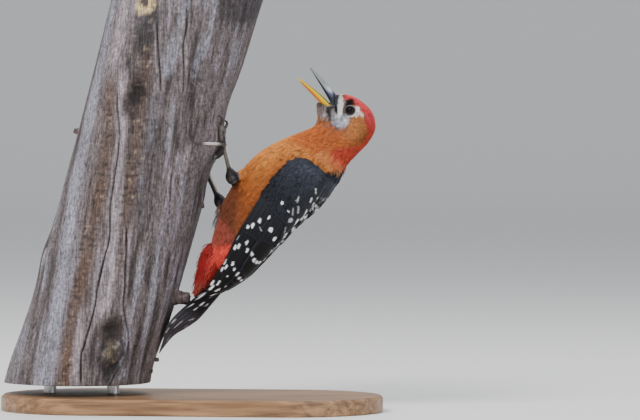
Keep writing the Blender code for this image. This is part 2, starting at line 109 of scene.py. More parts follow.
def makeMesh(name, points, faces, material, tint=None, maps=None, riding=True):
    # points in millimetres; faces is a list of index arrays, each row of an array one polygon
    mesh = bpy.data.meshes.new(name)
    points = np.asarray(points, float).reshape(-1, 3)
    faces = [np.asarray(block, np.int64) for block in faces if len(block)]
    loops = np.concatenate([block.ravel() for block in faces])
    totals = np.concatenate([np.full(len(block), block.shape[1]) for block in faces])
    mesh.vertices.add(len(points))
    mesh.vertices.foreach_set("co", (points * mm).ravel())
    mesh.loops.add(len(loops))
    mesh.loops.foreach_set("vertex_index", loops)
    mesh.polygons.add(len(totals))
    mesh.polygons.foreach_set("loop_start", np.concatenate(([0], np.cumsum(totals)[:-1])))
    mesh.polygons.foreach_set("loop_total", totals)
    mesh.polygons.foreach_set("use_smooth", np.ones(len(totals), bool))
    mesh.update(calc_edges=True)
    if tint is not None:
        layer = mesh.attributes.new("tint", "FLOAT_COLOR", "POINT")
        rgba = np.ones((len(points), 4))
        rgba[:, :3] = np.clip(np.asarray(tint).reshape(-1, 3), 0, 1)
        layer.data.foreach_set("color", rgba.ravel())
    for mapName, uv in (maps or {}).items():
        layer = mesh.uv_layers.new(name=mapName)
        layer.data.foreach_set("uv", np.asarray(uv, float).reshape(-1, 2)[loops].ravel())
    mesh.validate()
    mesh.materials.append(material)
    obj = bpy.data.objects.new(name, mesh)
    bpy.context.scene.collection.objects.link(obj)
    if riding:
        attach(obj, "root")
    return obj


def crossed(first, second):
    # two grids that pair every first value with every second one
    return np.meshgrid(first, second, indexing="ij")


def circle(count):
    # so many angles, once round
    return np.linspace(0, 2 * math.pi, count, endpoint=False)


def gridFaces(rows, columns, wrapped=False):
    # quads of a grid whose points run along each row in turn
    i, k = crossed(np.arange(rows - 1), np.arange(columns if wrapped else columns - 1))
    a = i * columns + k
    b = i * columns + (k + 1) % columns
    return np.stack((a, b, b + columns, a + columns), -1).reshape(-1, 4)


def tubeFaces(rows, columns):
    # a closed tube: its wrapped sides and a cap at each end
    first = np.arange(columns)[::-1][None]
    return [gridFaces(rows, columns, True), first, (rows - 1) * columns + np.arange(columns)[None]]


def turnedOut(points, faces):
    # flips every face of a closed shape whose volume comes out negative
    v = np.asarray(points).reshape(-1, 3)
    volume = 0
    for block in faces:
        for k in range(1, block.shape[1] - 1):
            a, b, c = v[block[:, 0]], v[block[:, k]], v[block[:, k + 1]]
            volume += np.sum(a * np.cross(b, c))
    return faces if volume > 0 else [block[:, ::-1] for block in faces]


def closedTube(points, tint):
    # rings of points, capped at both ends, as a shape for joinShapes
    return points, turnedOut(points, tubeFaces(*points.shape[:2])), tint


def joinShapes(name, shapes, material):
    # one mesh of several closed shapes: each has points, faces, tint and, on feathers, its vane's map
    starts = np.cumsum([0] + [shape[0].size // 3 for shape in shapes])
    faces = [block + start for start, shape in zip(starts, shapes) for block in shape[1]]
    points, tints = (np.concatenate([shape[k].reshape(-1, 3) for shape in shapes]) for k in (0, 2))
    maps = {"vane": np.concatenate([shape[3] for shape in shapes])} if len(shapes[0]) > 3 else None
    return makeMesh(name, points, faces, material, tints, maps)


# Sections from the wing tips up to the bill: belly x, z; back x, z; half width; how far the widest
# place lies towards the back, as a share; how much the belly side is pinched in.
bodyRows = (
    (-4.8, 71.5, 9.8, 66.8, 9.0, 0.10, 0.0),  # 0 tips of the primaries
    (2.2, 83.0, 19.9, 74.0, 11.5, 0.10, 0.0),
    (8.8, 96.0, 27.5, 79.0, 13.5, 0.10, 0.0),  # 2 root of the tail
    (13.7, 109.7, 35.6, 84.8, 15.5, 0.05, 0.0),
    (17.4, 124.0, 45.0, 93.6, 18.0, 0.0, 0.0),  # 4 belly
    (23.6, 136.5, 55.2, 103.2, 19.8, 0.0, 0.0),
    (33.7, 152.2, 68.0, 115.6, 21.0, 0.0, 0.0),  # 6 lower breast
    (45.7, 163.0, 80.4, 126.4, 21.4, 0.0, 0.0),
    (58.9, 169.7, 91.8, 141.4, 20.2, 0.0, 0.0),  # 8 shoulders
    (69.9, 174.0, 96.9, 151.9, 16.6, 0.05, 0.05),
    (76.9, 177.2, 103.2, 159.2, 14.0, 0.10, 0.15),  # 10 neck
    (79.0, 181.4, 110.5, 166.8, 12.9, 0.15, 0.25),
    (78.8, 185.2, 115.0, 175.6, 12.6, 0.20, 0.35),  # 12 ear coverts
    (78.4, 188.6, 113.4, 185.0, 12.6, 0.28, 0.45),
    (78.5, 190.8, 107.3, 191.8, 11.4, 0.32, 0.50),  # 14 eye and chin
    (79.4, 192.0, 100.0, 196.0, 8.8, 0.28, 0.45),
    (80.8, 192.4, 92.4, 197.2, 4.9, 0.10, 0.30),  # 16 root of the bill
)
torsoRoot, torsoRound = 1.9, 1.1
gapeSlope = 0.43  # how steeply the feathers' edge climbs in front of the eye
eyeAt = np.array((101.0, 8.5, 186.9))
gapeAt = np.array((90.4, 0, 187.2))
culmenRoot, chinRoot = np.array((90.6, 0, 197.6)), np.array((79.6, 0, 191.9))


def bodyPoint(place, angle, lift=0.0, closing=1.0):
    # an egg-shaped section at a place along the spine; the angle runs from the back's midline to the
    # left, the lift stands off the outer surface, and closing 1 rounds the body off over the tail
    place, angle, lift = np.broadcast_arrays(place, angle, lift)
    bellyX, bellyZ, backX, backZ, halfWidth, shift, pinch = np.moveaxis(spline(bodyRows, place), -1, 0)
    deepX, deepZ = backX - bellyX, backZ - bellyZ
    depth = np.hypot(deepX, deepZ)
    cos, sin = np.cos(angle), np.sin(angle)
    width = halfWidth * (1 - pinch * (0.5 - 0.5 * cos) ** 2)
    rounded = np.sqrt(1 - closing * np.clip(1 - (place - torsoRoot) / torsoRound, 0, 0.995) ** 2)
    outDeep, outWide = cos * width, sin * depth / 2
    reach = lift / np.hypot(outDeep, outWide)
    deep = depth / 2 * (cos + shift * sin**2) * rounded + outDeep * reach
    wide = width * sin * rounded + outWide * reach
    x = (bellyX + backX) / 2 + deepX / depth * deep
    z = (bellyZ + backZ) / 2 + deepZ / depth * deep
    return np.stack((x, -wide, z), -1)


def sleeve(rows):
    # a surface round a row of centres (x, z), half depth and half width
    def surface(place, angle, lift=0.0):
        place, angle, lift = np.broadcast_arrays(place, angle, lift)
        x, z, halfDepth, halfWidth = np.moveaxis(spline(rows, place), -1, 0)
        ahead = unit(spline(rows, place + 0.05)[..., :2] - spline(rows, place - 0.05)[..., :2])
        deep = np.cos(angle) * (halfDepth + lift)
        return np.stack(
            (x - ahead[..., 1] * deep, np.sin(angle) * (halfWidth + lift), z + ahead[..., 0] * deep), -1
        )
    return surface


def paces(surface, u, v, step=0.02):
    # millimetres on the surface for each unit of u, and of v
    here = surface(u, v, 0.0)
    there = surface(u + step, v, 0.0), surface(u, v + step, 0.0)
    return [np.linalg.norm(point - here, axis=-1) / step for point in there]


def layVanes(surface, u, v, size, shape, tint, name, material, yaw=0.0, unwrap=None):
    # Each vane starts at (u, v) on the surface and lies towards smaller u. size gives its length, width
    # and thickness; shape its rings, section, outline and lift along it. All are arrays over the vanes.
    rings, ringWidth, ringLift = shape["along"], shape["width"], shape["lift"]
    sectionAcross, sectionHigh = (np.array(part, float) for part in shape["section"])
    count = len(u)
    length, width, thick = (np.broadcast_to(part, (count,))[:, None, None] for part in size)
    lowLift, highLift = (np.broadcast_to(part, (count,))[:, None, None] for part in shape["lifts"])
    yaw = np.broadcast_to(yaw, (count,))[:, None, None]
    speedU, speedV = paces(surface, u, v)
    t = np.asarray(rings)[None, :, None]
    a = sectionAcross[None, None, :]
    half = width / 2 * np.asarray(ringWidth)[None, :, None]
    bend = shape.get("bend", 0.0)
    along = length * t
    aside = a * half
    yawHere = yaw * (1 - bend * t)
    du = -(along * np.cos(yawHere) + aside * np.sin(yawHere)) / np.maximum(speedU, 2.0)[:, None, None]
    dv = (-along * np.sin(yawHere) + aside * np.cos(yawHere)) / np.maximum(speedV, 2.0)[:, None, None]
    lift = lowLift + (highLift - lowLift) * np.asarray(ringLift)[None, :, None]
    lift = lift + thick * (sectionHigh[None, None, :] - shape.get("camber", 0.5) * a**2)
    points = surface(u[:, None, None] + du, v[:, None, None] + dv, lift)
    rows, columns = len(rings), len(sectionAcross)
    offsets = np.arange(count)[:, None, None] * rows * columns
    faces = [(block[None] + offsets).reshape(-1, block.shape[1]) for block in tubeFaces(rows, columns)]
    faces = turnedOut(points, faces)
    full = (count, rows, columns)
    tAll, aAll = np.broadcast_to(t, full), np.broadcast_to(a, full)
    colours = tint(points, u, v, tAll, aAll)
    maps = {"vane": np.stack((aAll * 0.5 * width, along + 0 * aAll), -1) * 0.1}
    if unwrap is not None:
        patch = 0.003
        root = unwrap(u, v)[:, None, None, :]
        maps["OFBake"] = root + np.stack((aAll * patch / 2, (tAll - 0.5) * patch), -1)
    return makeMesh(name, points, faces, material, colours, maps)


def scatter(surface, uRange, vRange, spacing, keep=None):
    # roots in rows across the surface, spaced evenly over its skin and then shaken
    us, vs = [], []
    u = uRange[0]
    odd = 0.0
    while u < uRange[1]:
        gapHere = spacing(u) if callable(spacing) else spacing
        ring = surface(np.full(65, u), np.linspace(*vRange, 65), 0.0)
        run = np.concatenate(([0], np.cumsum(np.linalg.norm(np.diff(ring, axis=0), axis=1))))
        count = max(int(run[-1] / gapHere), 3)
        spots = (np.arange(count) + 0.25 + odd) / count * run[-1]
        vs.append(np.interp(spots, run, np.linspace(*vRange, 65)))
        us.append(np.full(count, u))
        odd = 0.5 - odd
        pace = paces(surface, np.full(8, u), np.linspace(*vRange, 9)[:-1], 0.05)[0]
        u += gapHere * 0.86 / max(np.percentile(pace, 80), 3.0)
    u, v = np.concatenate(us), np.concatenate(vs)
    speedU, speedV = paces(surface, u, v)
    local = spacing(u) if callable(spacing) else spacing
    # where the sections fan out, rows crowd on the inner side, so some roots are dropped there
    crowd = np.clip(speedU / np.percentile(speedU, 60), 0.12, 1)
    kept = random.random(len(u)) < crowd
    u = u + random.uniform(-0.4, 0.4, len(u)) * local / np.maximum(speedU, 2.0)
    v = v + random.uniform(-0.4, 0.4, len(v)) * local / np.maximum(speedV, 2.0)
    if keep is not None:
        kept &= keep(u, v)
    return u[kept], v[kept]


def signedDegrees(degrees):
    # the same direction, from -180 to 180
    return (degrees + 180) % 360 - 180


def turned(angle):
    # degrees from the back's midline, whichever the side
    return np.abs(signedDegrees(np.degrees(angle)))


colours = {
    "sheen": srgb(45, 49, 60), "bar": srgb(232, 234, 238), "back": srgb(11, 12, 15),
    "breast": srgb(214, 138, 66), "neck": srgb(190, 104, 50), "flank": srgb(166, 88, 33),
    "belly": srgb(108, 58, 36), "fluff": srgb(104, 104, 104), "vent": srgb(156, 74, 58),
    "undertail": srgb(240, 80, 66), "undertailFront": srgb(158, 34, 32),
    "undertailSide": srgb(255, 96, 80), "undertailTop": srgb(204, 104, 86),
    "crown": srgb(224, 84, 88), "nape": srgb(208, 82, 58), "napeDark": srgb(150, 52, 36),
    "ear": srgb(198, 130, 74), "earDark": srgb(112, 58, 22), "face": srgb(196, 199, 212),
    "white": srgb(250, 250, 246), "lore": srgb(255, 252, 244), "dark": srgb(20, 16, 18),
    "chin": srgb(122, 106, 98), "nostril": srgb(70, 72, 88), "tuft": srgb(232, 166, 98),
    "fore": srgb(150, 144, 146),
}

# along the spine: place and colour of the underparts; the belly's brown is deepened by painted shade
underparts = (
    (2.0, "vent"), (4.1, "vent"), (4.5, "belly"), (5.0, "belly"), (5.8, "flank"),
    (7.2, "breast"), (8.4, "breast"), (9.0, "neck"), (10.4, "neck"), (16.0, "neck"),
)
# round the middle of the face, 5 mm under the eye: degrees from +X and the radius where red begins
crownEdge = (
    (-180, 60), (-126, 60), (-121, 23), (-112, 18.5), (-104, 16), (-91, 16.3), (-78, 14.6), (-62, 16.8),
    (-50, 18), (-42, 15.8), (-33, 13.2), (-25, 11.4), (-12, 9.2), (0, 8.1), (25, 8.1), (45, 7.2), (62, 7.7),
    (76, 8.3), (89, 10.2), (100, 12.4), (104, 14.2), (110, 17), (125, 60), (180, 60),
)
# marks of the face in millimetres from the eye, as seen from the side: x, z, half length, half width,
# tilt, colour, strength
faceMarks = (
    (-11.6, 3.0, 9.4, 6.2, 10, "fore", 0.9),
    (-7.0, -4.0, 6.5, 4.1, -28, "face", 1.0),
    (-6.2, -6.6, 3.0, 2.3, -60, "face", 0.5),
    (-13.3, -0.8, 4.5, 1.15, -72, "dark", 0.85),
    (-14.6, 1.6, 1.6, 1.1, -40, "dark", 0.6),
    (-9.4, -7.6, 3.6, 0.8, -36, "dark", 0.35),
    (-21.0, 2.2, 3.2, 4.2, 75, "chin", 0.75),
    (-18.6, 4.6, 2.0, 0.9, 20, "dark", 0.5),
    (-16.4, -0.8, 1.8, 0.8, 88, "lore", 0.22),
    (-10.6, 6.2, 4.6, 1.8, -80, "nostril", 0.95),
    (-10.3, 3.0, 4.5, 1.0, -58, "dark", 1.0),
    (-7.3, 4.2, 5.9, 1.65, -87, "lore", 1.0),
    (-3.1, 8.3, 2.4, 1.5, 0, "crown", 0.9),
    (-10.3, 8.4, 1.7, 1.5, 0, "nostril", 0.85),
    (-1.5, 5.6, 2.7, 2.4, 0, "dark", 1.0),
    (-4.2, 2.6, 3.6, 1.2, 80, "dark", 0.6),
    (6.4, -0.6, 2.1, 0.75, -36, "white", 0.8),
    (7.9, -1.6, 1.2, 0.6, -50, "dark", 0.6),
    (-2.7, -4.2, 1.9, 0.9, -30, "white", 0.5),
    (0.0, 0.0, 3.5, 3.5, 0, "dark", 1.0),
)
# the white crescent behind the eye: degrees from +X and its outer radius
eyeCrescent = (
    (-180, 0), (-112, 0), (-95, 4.2), (-60, 4.1), (-30, 4.0), (0, 4.6), (25, 5.3), (48, 5.5), (64, 4.8),
    (76, 0), (180, 0),
)
# the wing's edges: place, degrees from the back of the lower and of the upper edge
wingEdges = (
    (-0.02, 90.0, 78.0), (0.5, 86.0, 46.0), (1.0, 85.5, 10.0), (2.0, 92.0, 3.0), (3.0, 92.0, 5.0),
    (4.0, 91.0, 12.0), (5.0, 94.0, 20.0), (6.0, 98.5, 27.0), (7.0, 105.5, 33.0), (7.5, 107.0, 37.0),
    (7.8, 103.0, 41.0), (8.0, 96.0, 48.0), (8.12, 88.0, 58.0), (8.18, 81.0, 66.0),
)
wingPlaces, wingLow, wingHigh = np.array(wingEdges).T


def wingSides(place):
    # degrees from the back's midline to the wing's lower and upper edge
    return np.interp(place, wingPlaces, wingLow), np.interp(place, wingPlaces, wingHigh)


def mantleSide(place):
    # degrees from the back's midline to the mantle's side, which narrows to a point at the nape
    return np.interp(place, (7.9, 8.5, 8.9, 9.2), (66, 58, 42, 14))


def underpartsTint(points, place, deg, blotch):
    # colours along the spine, red over the undertail, painted shade beside the wing and in front of the
    # belly, with grey fluff above the undertail
    stops = np.array([row[0] for row in underparts])
    table = np.array([colours[row[1]] for row in underparts])
    at = place + 0.25 * blotch
    tint = np.stack([np.interp(at, stops, table[:, k]) for k in range(3)], -1)
    low = smooth(108 - points[..., 2] + 0.8 * blotch, -1, 1.5) * smooth(5 - place, 0, 0.5)
    tint = mix(tint, colours["undertail"], low)
    shade = smooth(150 - deg, 15, 60) * smooth(place, 4, 5) * smooth(8.6 - place, 0, 1.4)
    tint = mix(tint, colours["flank"] * 0.9, 0.62 * shade)
    # painted shade: a darker strip along the wing's lower edge
    beside = smooth(wingSides(place)[0] + 27 - deg, 0, 20) * smooth(place, 6.2, 6.9)
    tint = mix(tint, colours["flank"], 0.5 * beside * smooth(8.2 - place, 0, 0.4))
    # painted shade over the front of the belly, below the heel
    front = smooth(deg, 112, 146) * smooth(place, 4.6, 4.9) * smooth(6.3 - place, 0, 0.8)
    tint = mix(tint, colours["belly"], 0.75 * front)
    fluffy = smooth(deg + 8 * blotch, 146, 162) * smooth(place, 3.6, 3.9) * smooth(4.6 - place, 0, 0.3)
    return mix(tint, colours["fluff"], fluffy)


def headTint(tint, points, place, deg, blotch, fine):
    # golden ear coverts, red above the crown's edge, then the face's marks; also gives the share of red
    dx = points[..., 0] - eyeAt[0] + 0.14 * (eyeAt[1] - np.abs(points[..., 1]))
    dz = points[..., 2] - eyeAt[2]
    radius, turn = np.hypot(dx, dz + 5), np.degrees(np.arctan2(dz + 5, dx))
    # the ear coverts turn golden behind the cheek, darker towards the nape; the throat stays rufous
    onHead = smooth(place, 10.4, 11.6)
    tint = mix(tint, colours["ear"], onHead * smooth(turn, -130, -95))
    tint = mix(tint, colours["earDark"], 0.75 * onHead * smooth(radius, 9, 16) * smooth(turn, -95, -60))
    edge = np.interp(turn, *np.array(crownEdge, float).T)
    limit = np.interp(radius, (20, 23, 28, 34, 42), (-126, -119, -112, -103, -97)) + 3 * fine
    red = smooth(turn - limit, -2, 4)
    red = red * smooth(radius + 0.9 * blotch + 0.9 * fine - edge, -0.7, 1.3) * smooth(place, 8.5, 8.9)
    red = np.maximum(red, smooth(38 - deg, 0, 8) * smooth(place, 9.0, 9.2) * smooth(12.6 - place, 0, 1))
    # pinker towards the top of the head: the red's own tone with a painted highlight from above
    crown = mix(colours["nape"], colours["crown"], smooth(turn, -45, 18))
    crown = mix(crown, colours["napeDark"], 0.55 * smooth(fine + 0.5 * noise(points, 1.8, 14), 0.15, 0.9))
    crown = mix(crown, colours["napeDark"], 0.8 * smooth(46 - deg, 0, 40) * smooth(5 - turn, 0, 40))
    tint = mix(tint, crown, red)
    for x, z, halfLength, halfWidth, tilt, name, strength in faceMarks:
        cos, sin = math.cos(math.radians(tilt)), math.sin(math.radians(tilt))
        along, across = (dx - x) * cos + (dz - z) * sin, (dz - z) * cos - (dx - x) * sin
        off = np.hypot(along / halfLength, across / halfWidth) + 0.2 * fine + 0.12 * blotch
        share = strength * (1 - smooth(off, 0.82, 1.2)) * smooth(place, 10.4, 11.2)
        tint = mix(tint, colours[name], share)
    crescent = np.interp(np.degrees(np.arctan2(dz, dx)), *np.array(eyeCrescent, float).T)
    crescent = smooth(crescent - np.hypot(dx, dz) + 0.2 * fine, -0.1, 0.4) * onHead
    tint = mix(tint, colours["white"], crescent)
    # fine dark flecks over the cheek and chin
    flecks = smooth(fractal(points, 1.5, 13, 2), -0.05, 0.35) * smooth(place, 10.6, 11.4)
    ahead = smooth(-3 - dx, 0, 3) * smooth(3.5 - dz + 0.4 * (dx + 9), 0, 3)
    flecks = flecks * np.maximum(ahead, 0.8 * smooth(-6 - dz, 0, 3) * smooth(0.5 - dx, 0, 3))
    return mix(tint, colours["chin"], 0.75 * flecks), red


def mantleTint(tint, place, deg, blotch, fine, red):
    # a paler band above the wing's front, then mantle and rump: black, with broken white bars
    collar = smooth(place, 8.2, 8.7) * smooth(9.9 - place, 0, 0.5) * smooth(84 - deg, 0, 16) * (1 - red)
    tint = mix(tint, colours["tuft"], 0.15 * collar * smooth(fine, -0.2, 0.7))
    mantle = smooth(9.2 - place + 0.05 * blotch, 0, 0.1)
    mantle = mantle * smooth(mantleSide(place) + 2 - deg + 5 * blotch, 0, 6)
    bars = smooth(np.sin(place * 11.5 - deg / 22 + 1.6 * blotch) + 0.5 * fine, 0.6, 0.95)
    bars = bars * smooth(place, 4.2, 4.8) * smooth(7.4 - place, 0, 0.4) * smooth(35 - deg, 0, 5)
    sheen = mix(colours["back"], colours["sheen"], 0.75 * smooth(place, 6.6, 7.8))
    tint = mix(tint, sheen, mantle)
    return mix(tint, colours["bar"], bars * mantle)


def coatTint(points, place, angle):
    # the coat's colour at points of the body, given their place along the spine and their angle round it
    deg = turned(angle)
    blotch, fine = fractal(points, 5.0, 11), noise(points, 0.9, 12)
    tint = underpartsTint(points, place, deg, blotch)
    tint, red = headTint(tint, points, place, deg, blotch, fine)
    return mantleTint(tint, place, deg, blotch, fine, red)


def coatColour(points, u, v, t, a):
    # the coat's colour at the vane's root, with painted shade there, under the other vanes, and
    # lightened at its tip, in soft clumps
    base = coatTint(bodyPoint(u, v), u, v)[:, None, None, :]
    clump = 1 + 0.16 * noise(np.stack((u * 5, np.sin(v) * 20, np.cos(v) * 20), -1), 1.0, 21)
    wander = clump + 0.12 * random.normal(size=len(u))
    shade = (0.5 + 0.62 * smooth(t, 0.15, 0.95))[..., None]
    return base * np.clip(wander, 0.5, 1.5)[:, None, None, None] * shade + 0 * points


def bodyUnwrap(u, v):
    # the spine up the page, the turn round the body across it
    return np.stack(((np.degrees(v) + 180) % 360 / 360, u / 17), -1)


def fill(node, *values, **inputs):
    # gives a node's inputs, by order or by name, their values or the outputs that feed them
    for key, value in (*enumerate(values), *inputs.items()):
        socket = node.inputs[key if isinstance(key, int) else key.replace("_", " ")]
        if isinstance(value, bpy.types.NodeSocket):
            node.id_data.links.new(value, socket)
        else:
            socket.default_value = value


def newMaterial(name, roughness, **sockets):
    # a material and its shader, whose other inputs are given by name with _ for a space
    material = bpy.data.materials.new(name)
    material.use_nodes = True
    shader = material.node_tree.nodes["Principled BSDF"]
    fill(shader, Roughness=roughness, **sockets)
    return material, shader


def addNode(shader, kind, settings, *values, **inputs):
    # a new node beside the shader; its settings come first, because they decide which inputs it has
    node = shader.id_data.nodes.new("ShaderNode" + kind)
    for key, value in settings.items():
        setattr(node, key, value)
    fill(node, *values, **inputs)
    return node


def tintOf(shader):
    # the colour that makeMesh keeps at each point
    return addNode(shader, "Attribute", {"attribute_name": "tint"}).outputs["Color"]


def noiseOver(shader, stretch=(1, 1, 1), rotation=(0, 0, 0), **inputs):
    # noise on the object's own coordinates, turned and stretched
    place = addNode(shader, "TexCoord", {}).outputs["Object"]
    if stretch != (1, 1, 1):
        mapping = addNode(shader, "Mapping", {}, Vector=place, Rotation=rotation, Scale=stretch)
        place = mapping.outputs["Vector"]
    return addNode(shader, "TexNoise", {}, Vector=place, **inputs).outputs["Fac"]


def bumpInto(shader, height, strength, distance):
    bump = addNode(shader, "Bump", {}, Strength=strength, Distance=distance, Height=height)
    fill(shader, Normal=bump.outputs["Normal"])


def grained(shader, colour, grain, dark, bright, low, high):
    # a colour times its grain, whose span from dark to bright is stretched over low to high
    spread = addNode(
        shader, "MapRange", {}, Value=grain, From_Min=dark, From_Max=bright, To_Min=low, To_Max=high
    )
    kind = {"data_type": "RGBA", "blend_type": "MULTIPLY"}
    return addNode(shader, "Mix", kind, Factor=1.0, A=colour, B=spread.outputs["Result"]).outputs["Result"]


def speckle(shader, colour, scale, low, high):
    # multiplies a colour by soft noise between low and high
    grain = noiseOver(shader, Scale=scale, Detail=3.0)
    return grained(shader, colour, grain, 0.3, 0.7, low, high), grain


def tintedMaterial(name, roughness, scale, low, high, strength, distance, **sockets):
    # the tint with fine noise over it, and the same noise as bump
    material, shader = newMaterial(name, roughness, **sockets)
    colour, grain = speckle(shader, tintOf(shader), scale, low, high)
    fill(shader, Base_Color=colour)
    bumpInto(shader, grain, strength, distance)
    return material


def featherMaterial(name, roughness, barbs, sheen, gloss):
    # the tint, broken up by fine barbs that slant off each vane's shaft
    material, shader = newMaterial(
        name, roughness, Sheen_Weight=sheen, Sheen_Roughness=0.5, Specular_IOR_Level=gloss
    )

    def maths(operation, *values):
        return addNode(shader, "Math", {"operation": operation}, *values).outputs["Value"]

    fill(shader, Base_Color=speckle(shader, tintOf(shader), 900.0, 0.86, 1.12)[0])
    vane = addNode(shader, "UVMap", {"uv_map": "vane"}).outputs["UV"]
    parts = addNode(shader, "SeparateXYZ", {}, vane).outputs
    slant = maths("SUBTRACT", parts["Y"], maths("ABSOLUTE", parts["X"]))
    bumpInto(shader, maths("SINE", maths("MULTIPLY", slant, barbs)), 0.25, 0.0001)
    return material


softFeather = featherMaterial("softFeather", 0.8, 210.0, 0.08, 0.2)
pennaFeather = featherMaterial("pennaFeather", 0.55, 130.0, 0.0, 0.18)
print("materials of the coat ready")


covertRows = (
    (18.6, 104.6, 5.0, 5.6), (16.2, 100.0, 7.0, 8.4), (12.8, 94.0, 6.8, 9.2), (9.8, 86.2, 5.8, 9.0),
    (6.4, 78.4, 4.2, 6.8), (3.2, 71.8, 1.7, 3.0),
)
covertPoint = sleeve(covertRows[::-1])
legs = {
    left: {"heel": (27.2, 13.0, 145.8), "knee": (41.0, 8.0, 148.0), "footAngle": 6.0, "footZ": 164.4},
    right: {"heel": (15.6, 14.5, 129.6), "knee": (30.0, 8.0, 128.5), "footAngle": 38.0, "footZ": 146.5},
}
thigh = {"start": 4.2, "places": (0, 0.5, 1.0, 1.5, 2), "radii": (2.5, 3.7, 4.6, 4.0, 1.2)}


def jointOf(side, name):
    # the heel or the knee, whose distance from the middle is given as positive on both sides
    x, y, z = legs[side][name]
    return np.array((x, -side * y, z))


def thighPoint(side):
    # a cone from the heel into the flank; place 0 is the heel, 2 the knee
    heel, knee = jointOf(side, "heel"), jointOf(side, "knee")
    axis = unit(knee - heel)
    across = unit(np.cross(axis, (0, 1, 0)))
    third = np.cross(axis, across)

    def surface(place, angle, lift=0.0):
        place, angle, lift = np.broadcast_arrays(place, angle, lift)
        radius = np.interp(place, thigh["places"], thigh["radii"]) + lift
        first = heel + axis * thigh["start"]
        centre = first + (knee - first) * (place / 2)[..., None]
        return centre + spoke(across, third, angle) * radius[..., None]
    return surface


skin = {"rows": 90, "columns": 72, "end": 15.9, "depth": 1.5, "faceDepth": 0.75, "notchZ": 187.4}


def makeSkin():
    # the body's sleeve sunk by the coat's depth, with the covert and thigh cones sunk into it
    places = torsoRoot + 0.02 + (skin["end"] - torsoRoot) * np.linspace(0, 1, skin["rows"]) ** 0.9
    depth = skin["depth"] + (skin["faceDepth"] - skin["depth"]) * smooth(places, 9.5, 12.5)
    u, v = crossed(places, circle(skin["columns"]))
    body = bodyPoint(u, v, -depth[:, None])
    # the face is cut back to the feathers' edge, where the bill springs
    notch = (body[..., 2] > skin["notchZ"]) & (body[..., 0] < culmenRoot[0] + 0.3)
    above = body[..., 2] - (gapeAt[2] + (gapeAt[0] - body[..., 0]) * gapeSlope) > 0
    body[..., 0] = np.where(notch & above, culmenRoot[0] + 0.3, body[..., 0])
    # painted shade: the sunk skin takes the coat's colours darkened, as if deep among the feathers' roots
    shapes = [closedTube(body, coatTint(bodyPoint(u, v), u, v) * 0.55)]
    for surface, last, sink, name in (
        (covertPoint, 5, 1.2, "vent"),
        (thighPoint(left), 2, 0.8, "flank"),
        (thighPoint(right), 2, 0.8, "flank"),
    ):
        points = surface(*crossed(np.linspace(0.03, last, 24), circle(24)), -sink)
        # painted shade: the covert and thigh cones take their coat colours darkened
        shapes.append(closedTube(points, colours[name] * 0.6 + 0 * points))
    material = tintedMaterial("skin", 0.8, 700.0, 0.8, 1.15, 0.5, 0.0003)
    obj = joinShapes("skin", shapes, material)
    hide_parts("torso", "neck", "head", "thigh_left", "thigh_right", "undertail_coverts")


makeSkin()
print("skin made")


# one blade of a tuft: narrow, three-sided, pointed
bladeShape = {
    "along": (0.0, 0.3, 0.62, 0.86, 1.0),
    "width": (0.55, 1.0, 0.92, 0.55, 0.12),
    "lift": (0.0, 0.45, 0.8, 0.95, 1.0),
    "section": ((-1, 0, 1), (0, 1, 0)),
    "camber": 0.3,
}
# a whole small vane: broader, with a low keel and a round tip
vaneShape = {
    "along": (0.0, 0.25, 0.5, 0.74, 0.9, 1.0),
    "width": (0.35, 0.85, 1.0, 0.94, 0.66, 0.22),
    "lift": (0.0, 0.4, 0.7, 0.9, 0.97, 1.0),
    "section": ((-1, 0, 1, 0), (0, 1, 0, -1)),
    "camber": 0.5,
}
coat = {
    "eyeBare": 4.05,  # radius round the eye without feathers
    "spacing": ((2.0, 1.9), (8.0, 1.7), (9.5, 1.35), (10.8, 1.1), (12.0, 0.9), (14.0, 0.72), (16.0, 0.62)),
    "length": ((2.0, 8.0), (8.0, 7.0), (9.5, 5.6), (10.8, 4.4), (12.0, 3.5), (14.0, 2.5), (16.0, 1.9)),
    "width": ((2.0, 1.25), (8.0, 1.1), (10.8, 0.75), (13.0, 0.52), (16.0, 0.42)),
    "depth": ((2.0, 1.5), (9.5, 1.3), (12.0, 0.85), (16.0, 0.6)),
    "fan": 0.24,  # radians between the blades of a tuft
}


def coatValue(key, place):
    # one of the coat's measures at a place along the spine, by straight lines between its stops
    return np.interp(place, *np.array(coat[key], float).T)


def threefold(u, v):
    # three blades spring from each root; fan is -1 and 1 for the outer ones and 0 for the middle one
    return np.tile(u, 3), np.tile(v, 3), np.repeat((-1.0, 0.0, 1.0), len(u))


